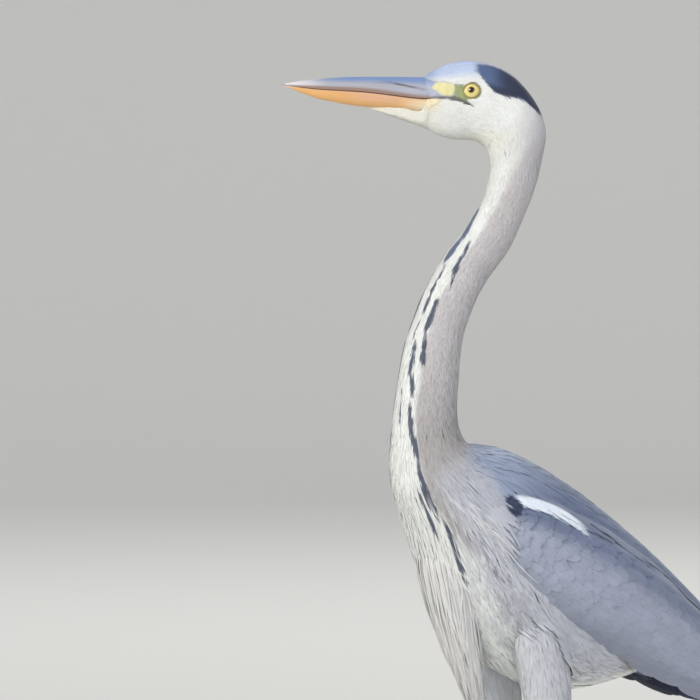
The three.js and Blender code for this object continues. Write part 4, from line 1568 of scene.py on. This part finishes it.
def breast_pigment(t, phi):
    """The body's colours, with white threads over the grey of the breast's sides."""
    colour = body_pigment(t, phi)
    thread = (np.sin(53.0 * phi[:, :1, :1] + 31.0 * t[:, :1, :1]) > 0.82) & (off_front(phi) < 1.25)
    return tint(colour, WHITE, 0.5 * thread * ramp(t, 25.6, 27))


def flank_pigment(t, phi):
    """Pale grey flank feathers, whiter towards the belly."""
    return tint(filled(SHOULDER_GREY, t), WHITE, 0.1 + 0.5 * ramp(off_front(phi), 0.9, 0.5))


def make_head_coat(down):
    """Short down of the face and the longer locks of crown and nape."""
    for name, span, seed in (("coat_face", (0.1, 7.6), 0.11), ("coat_nape", (7.6, 13), 0.17)):
        tufts = scatter(covered, span, FULL_TURN, HEAD_TUFTS, 5.6, seed, feathered_face)
        layer = lay(covered, tufts, "lock", 4, 3, 0.45, tip=0.1, ragged=0.12)
        coat(name, [layer], body_pigment, down, "silk", 0.6)


def make_neck_coat(silk):
    """Narrow silky tufts of the neck, finer ones over them, and a few loose ends that
    stand off its front."""
    for name, span, seed in (
        ("coat_neck_upper", (12.4, 19), 0.23), ("coat_neck_lower", (19, 25.2), 0.27),
    ):
        neck = scatter(covered, span, FULL_TURN, NECK_TUFTS, 5.0, seed)
        fine = scatter(covered, span, FULL_TURN, NECK_TUFTS * [1, 0.9, 0.6], 2.4, seed + 0.05)
        layers = [
            lay(covered, neck, "lance", 6, 3, 0.7, tip=0.1, sway=0.06, ragged=0.12, camber=0.04),
            lay(covered, fine, "lance", 5, 2, 0.7, tip=0.2, sway=0.08),
        ]
        if name == "coat_neck_lower":
            wisp = strand_set([23.5, 23.6, 23.66, 23.8], [-0.66, -0.7, -0.6, -0.68], 17, 1.5, 31)
            layers.append(lay(covered, wisp, "lance", 6, 3, 1.5, tip=6.5, sway=0.2, ragged=0.0))
        coat(name, layers, body_pigment, silk, "silk", 0.65)


def make_trunk_coat(silk, contour):
    """Breast with its white threads, belly, flanks, and the mantle's two layers."""
    front = scatter(
        covered, (24.4, 29.5), FULL_TURN, TRUNK_TUFTS * [1, 1.1, 0.42], 6.0, 0.37,
        lambda t, phi: (off_front(phi) < 1.75) & free_of_wing(t, phi),
    )
    coat(
        "coat_breast",
        [lay(covered, front, "lance", 9, 3, 1.2, tip=0.3, sway=0.08, drape=over_wing,
             clear=across_wing)],
        breast_pigment, silk, "silk", 0.8,
    )
    threads = scatter(
        covered, (25.4, 27.8), FULL_TURN, THREADS, 0.9, 0.39,
        lambda t, phi: (off_front(phi) > 0.7) & (off_front(phi) < 1.3),
    )
    coat(
        "breast_threads", [lay(covered, threads, "lance", 14, 2, 2.0, tip=1.0, drape=over_wing)],
        lambda t, phi: filled(WHITE * 0.93, t), silk, "silk",
    )
    belly = scatter(
        covered, (28.4, 36.8), FULL_TURN, TRUNK_TUFTS * [1, 1, 0.7], 5.5, 0.41,
        lambda t, phi: (off_front(phi) < np.where(t < 32.5, 0.95, 2.2)) & free_of_wing(t, phi),
    )
    coat(
        "coat_belly", [lay(covered, belly, "plume", 8, 5, 1.6, tip=0.3, sway=0.1)],
        body_pigment, contour, "vane", 0.5,
    )
    flank = scatter(
        covered, (27.4, 32.6), FULL_TURN, FLANK_TUFTS, 6.5, 0.47,
        lambda t, phi: (off_front(phi) > 0.72) & (off_front(phi) < 1.5),
    )
    down_side = -0.3 * np.sign(wrap(flank["u"]))
    coat(
        "coat_flank",
        [lay(covered, flank, "plume", 12, 5, 1.2, tip=0.4, heading=down_side, sway=0.08,
             drape=over_thigh, clear=across_thigh)],
        flank_pigment, contour, "silk", 0.5,
    )
    back = scatter(
        covered, (24.4, 36.8), FULL_TURN, MANTLE_TUFTS, 6.5, 0.53,
        lambda t, phi: (off_front(phi) > 1.5) & free_of_wing(t, phi),
    )
    long = scatter(
        covered, (26.2, 31.5), FULL_TURN, LONG_TUFTS, 4.0, 0.59,
        lambda t, phi: (off_front(phi) > 1.75) & (off_front(phi) < 2.7) & free_of_wing(t, phi),
    )
    layers = ((back, 10, 0.1, 0.05, 0.04), (long, 15, 0.2, 0.04, 0.03))
    coat(
        "coat_mantle",
        [lay(covered, tufts, "plume", rows, 5, 1.0, tip=tip, sway=sway, ragged=ragged,
             camber=0.03, drape=over_wing, clear=across_wing)
         for tufts, rows, tip, sway, ragged in layers],
        body_pigment, contour, "vane", 0.9,
    )


def make_coats():
    """All plumage, from the face to the tail."""
    down = plumage("head_down", 0.75, 0.25, 0.35, 0.05)
    silk = plumage("neck_silk", 0.7, 0.3, 0.5, 0.06)
    contour = plumage("contour_feather", 0.66, 0.25, 0.6, 0.08, 0.12)
    make_head_coat(down)
    make_neck_coat(silk)
    make_trunk_coat(silk, contour)
    for which, side in SIDES.items():
        make_wing(which, side, contour)
        thigh = scatter(leg(which), (0.4, 9.2), FULL_TURN, THIGH_TUFTS, 5.5, 0.61)
        coat(
            f"coat_thigh_{which}",
            [lay(leg(which), thigh, "lance", 7, 3, 0.9, tip=0.2, sway=0.08)],
            thigh_pigment, silk, "silk", 0.5,
        )
    make_plumes(silk)
    make_tail(contour)


def make_wing(which, side, material):
    """A folded wing: dark primaries undermost, then grey secondaries and tertials, then
    rows of coverts that grow longer from the bend backwards."""
    surface, sheet = wing(side), wing_sheet(side)
    # roots and tips of the long feathers, in millimetres along the wing and above its line
    k = np.arange(8)
    primaries = quills(sheet, (296 + 2 * k, -16 + 4 * k), (464 - 4 * k, -6 + 1.3 * k), 16, 71, -3.2)
    k = np.arange(11)
    secondaries = quills(sheet, (200 + 7 * k, -38 + 6.6 * k), (372 + 6 * k, -16 + 1.8 * k), 20, 72, -1.8)
    k = np.arange(7)
    tertials = quills(sheet, (262 - 6 * k, -4 + 5.6 * k), (428 + 1.2 * k, -6 + 1.5 * k), 22, 73, -0.6)
    coverts = scatter(surface, (0.12, 6.6), (0.01, 0.99), COVERTS, 5.6, 0.67)
    marks = scatter(
        surface, (0.15, 4.4), (0.3, 1.0), MARK_TUFTS, 6.0, 0.69,
        lambda t, q: near_marks(surface, t, q),
    )
    grey = wing_pigment(side)

    def quill_paint(colour, other):
        """Colours of long feathers, which change from the lower ones to the upper ones."""
        def paint(t, q):
            """Colour at a place of the wing's sheet."""
            return tint(filled(colour, t), other, ramp(q, -20, 25))
        return paint

    stacks = [
        ("primaries", [primaries], quill_paint(INK, SLATE)),
        ("secondaries", [secondaries, tertials], quill_paint(QUILL_GREY, BACK_DEEP_AND_SHADE)),
        ("coverts", [
            lay(surface, coverts, "vane", 10, 7, 2.6, tip=0.15, sway=0.06, ragged=0.025, loose=0.03),
            lay(surface, marks, "lock", 6, 3, 0.8, tip=0.8, sway=0.1, ragged=0.1),
        ], grey),
    ]
    for name, layers, paint in stacks:
        coat(
            f"{name}_{which}", layers, paint, material, "vane", 0.6,
            [f"wing_{which}"],
        )


def make_plumes(material):
    """Long pointed plumes that hang from the breast, in two layers."""
    outer = scatter(plume, (0.05, 6.8), FULL_TURN, PLUME_TUFTS, 4.5, 0.77)
    inner = scatter(plume, (0.05, 6.0), FULL_TURN, PLUME_TUFTS, 2.5, 0.83)
    outer["length"] *= outer["dice"].uniform(0.7, 1.2, len(outer["t"]))
    layers = [
        lay(plume, outer, "lance", 12, 3, 1.8, tip=0.5, sway=0.06, ragged=0.05, loose=0.25),
        lay(plume, inner, "lance", 12, 3, 2.6, tip=-1.0, sway=0.06, ragged=0.05, loose=0.3),
    ]
    coat(
        "coat_plumes", layers,
        lambda t, phi: tint(filled(WHITE, t), NECK_GREY, 0.4 + 0.3 * ramp(t, 2, 6)),
        material, "silk", replaces=["breast_plumes"],
    )


def make_tail(material):
    """Twelve tail feathers, closed, the middle pair on top."""
    k = np.repeat(np.arange(6), 2)
    side = np.tile([1.0, -1.0], 6)
    share = (5.5 - k) / 6
    root = side * share * 0.3
    feathers = strand_set(0.02, root, 186 - 14 * share, 20, 79)
    aim = np.arctan2(side * share * 6, 180.0)
    layer = lay(tail, feathers, "quill", 20, 9, 2.0, tip=-0.8, sway=0.0, heading=aim, ragged=0.01)
    height = (k * 0.55 - 2.6)[:, None, None, None] * np.array([0, 0.3, 0.95])
    layer["points"] = layer["points"] + height
    coat(
        "tail_feathers", [layer],
        lambda t, u: tint(filled(BACK_GREY, t), SLATE, 0.3 * ramp(np.abs(u), 0.2, 1)),
        material, "vane", replaces=["tail"],
    )


make_skin()
make_coats()
bill_material = horn("bill_horn", 0.34, 0.06)
bill_upper(bill_material)
bill_lower(bill_material)
claw_material = horn("claw_horn", 0.4, 0.12)
wet = eye_material()
for which in SIDES:
    eyeball(which, wet)
    for name in TOE_SPREAD:
        claw(which, name, claw_material)


# ---- stage, light and camera ---------------------------------------------------------------------
FLOOR_FLAT, FLOOR_BOWL = 7.0, 3.2  # metres: radius of the flat floor and of the curve round it
FLOOR_SIDES = 96


def make_stage():
    """A pale floor that is flat under the bird and curves up far away, like a bowl."""
    bend = np.linspace(0.05, 1.45, 20)
    flat = np.linspace(0.02, FLOOR_FLAT, 24)
    radius = np.concatenate([flat, FLOOR_FLAT + FLOOR_BOWL * np.sin(bend)])[:, None]
    rise = np.concatenate([0 * flat, FLOOR_BOWL * (1 - np.cos(bend))])[:, None]
    angle = turns(FLOOR_SIDES)[None]
    points = np.stack(np.broadcast_arrays(
        radius * np.cos(angle), radius * np.sin(angle), rise,
    ), -1) * 1000.0
    k = np.arange(FLOOR_SIDES)
    centre = np.full(FLOOR_SIDES, len(radius) * FLOOR_SIDES)
    middle = np.stack([centre, k, (k + 1) % FLOOR_SIDES], -1)
    points = np.concatenate([points.reshape(-1, 3), [[0, 0, 0]]])
    mesh = make_mesh("floor", points, grid_faces(len(radius), FLOOR_SIDES, closed=True), middle)
    # matt painted board, even and pale
    material, tree, surface = shader("painted_board")
    feed(tree, surface, {
        "Base Color": (*linear("#D9D8D4"), 1.0), "Roughness": 0.9, "Specular IOR Level": 0.1,
    })
    mesh.materials.append(material)
    floor = bpy.data.objects.new("floor", mesh)
    bpy.context.scene.collection.objects.link(floor)


def facing(location, target):
    """Rotation that turns a lamp's or camera's -Z axis to a target."""
    return (Vector(target) - Vector(location)).to_track_quat("-Z", "Y").to_euler()


def make_lamp(name, location, target, size, power, colour):
    """A round soft lamp of a diameter in metres and a power in watts."""
    lamp = bpy.data.lights.new(name, "AREA")
    lamp.shape, lamp.size, lamp.energy = "DISK", size, power
    lamp.color = linear(colour)
    obj = bpy.data.objects.new(name, lamp)
    obj.location = location
    obj.rotation_euler = facing(location, target)
    bpy.context.scene.collection.objects.link(obj)


def make_light():
    """A pale sky, four lamps on the bird, and a ring of lamps on the far backdrop."""
    world = bpy.data.worlds.new("studio")
    world.use_nodes = True
    back = world.node_tree.nodes["Background"]
    back.inputs["Color"].default_value = (*linear("#EEF1F6"), 1.0)
    back.inputs["Strength"].default_value = 0.55
    bpy.context.scene.world = world
    aim = (0.0, -0.1, 0.6)
    make_lamp("key", (0.9, -4.2, 4.1), aim, 1.6, 178, "#FFF8EE")
    make_lamp("front", (-3.2, -3.6, 1.8), aim, 2.4, 40, "#FFFFFF")
    make_lamp("fill", (5.2, -1.5, 2.4), aim, 3.2, 92, "#F0F4FF")
    make_lamp("rim", (-2.4, 3.6, 3.8), aim, 2.0, 58, "#FFFFFF")
    for number in range(6):
        angle = math.radians(60 * number + 21)
        c, s = math.cos(angle), math.sin(angle)
        place, far = (3.4 * c, 3.4 * s, 3.8), (9.5 * c, 9.5 * s, 1.4)
        make_lamp(f"backdrop_{number}", place, far, 3.2, 52, "#FFFFFF")


CAMERA_AZIMUTH, CAMERA_ELEVATION = 51.0, 2.0
AIM_RIGHT, AIM_UP = -111.4, 658.1  # the point looked at, in millimetres from ORIGIN
MM_PER_FRAME = 600.0  # width that the frame shows at the bird's distance
LENS, SENSOR = 200.0, 36.0


def make_camera():
    """A long lens that looks at the bird from its front left."""
    a, e = math.radians(CAMERA_AZIMUTH), math.radians(CAMERA_ELEVATION)
    back = np.array([math.sin(a) * math.cos(e), -math.cos(a) * math.cos(e), math.sin(e)])
    right = np.array([math.cos(a), math.sin(a), 0.0])
    target = ORIGIN + AIM_RIGHT * right + np.array([0, 0, AIM_UP])
    location = (target + back * MM_PER_FRAME / SENSOR * LENS) * 0.001
    data = bpy.data.cameras.new("camera")
    data.lens, data.sensor_width = LENS, SENSOR
    data.clip_start, data.clip_end = 0.05, 60
    camera = bpy.data.objects.new("camera", data)
    camera.location = location
    camera.rotation_euler = facing(location, target * 0.001)
    bpy.context.scene.collection.objects.link(camera)
    bpy.context.scene.camera = camera


make_stage()
make_light()
make_camera()
bpy.context.scene.view_settings.view_transform = "Standard"
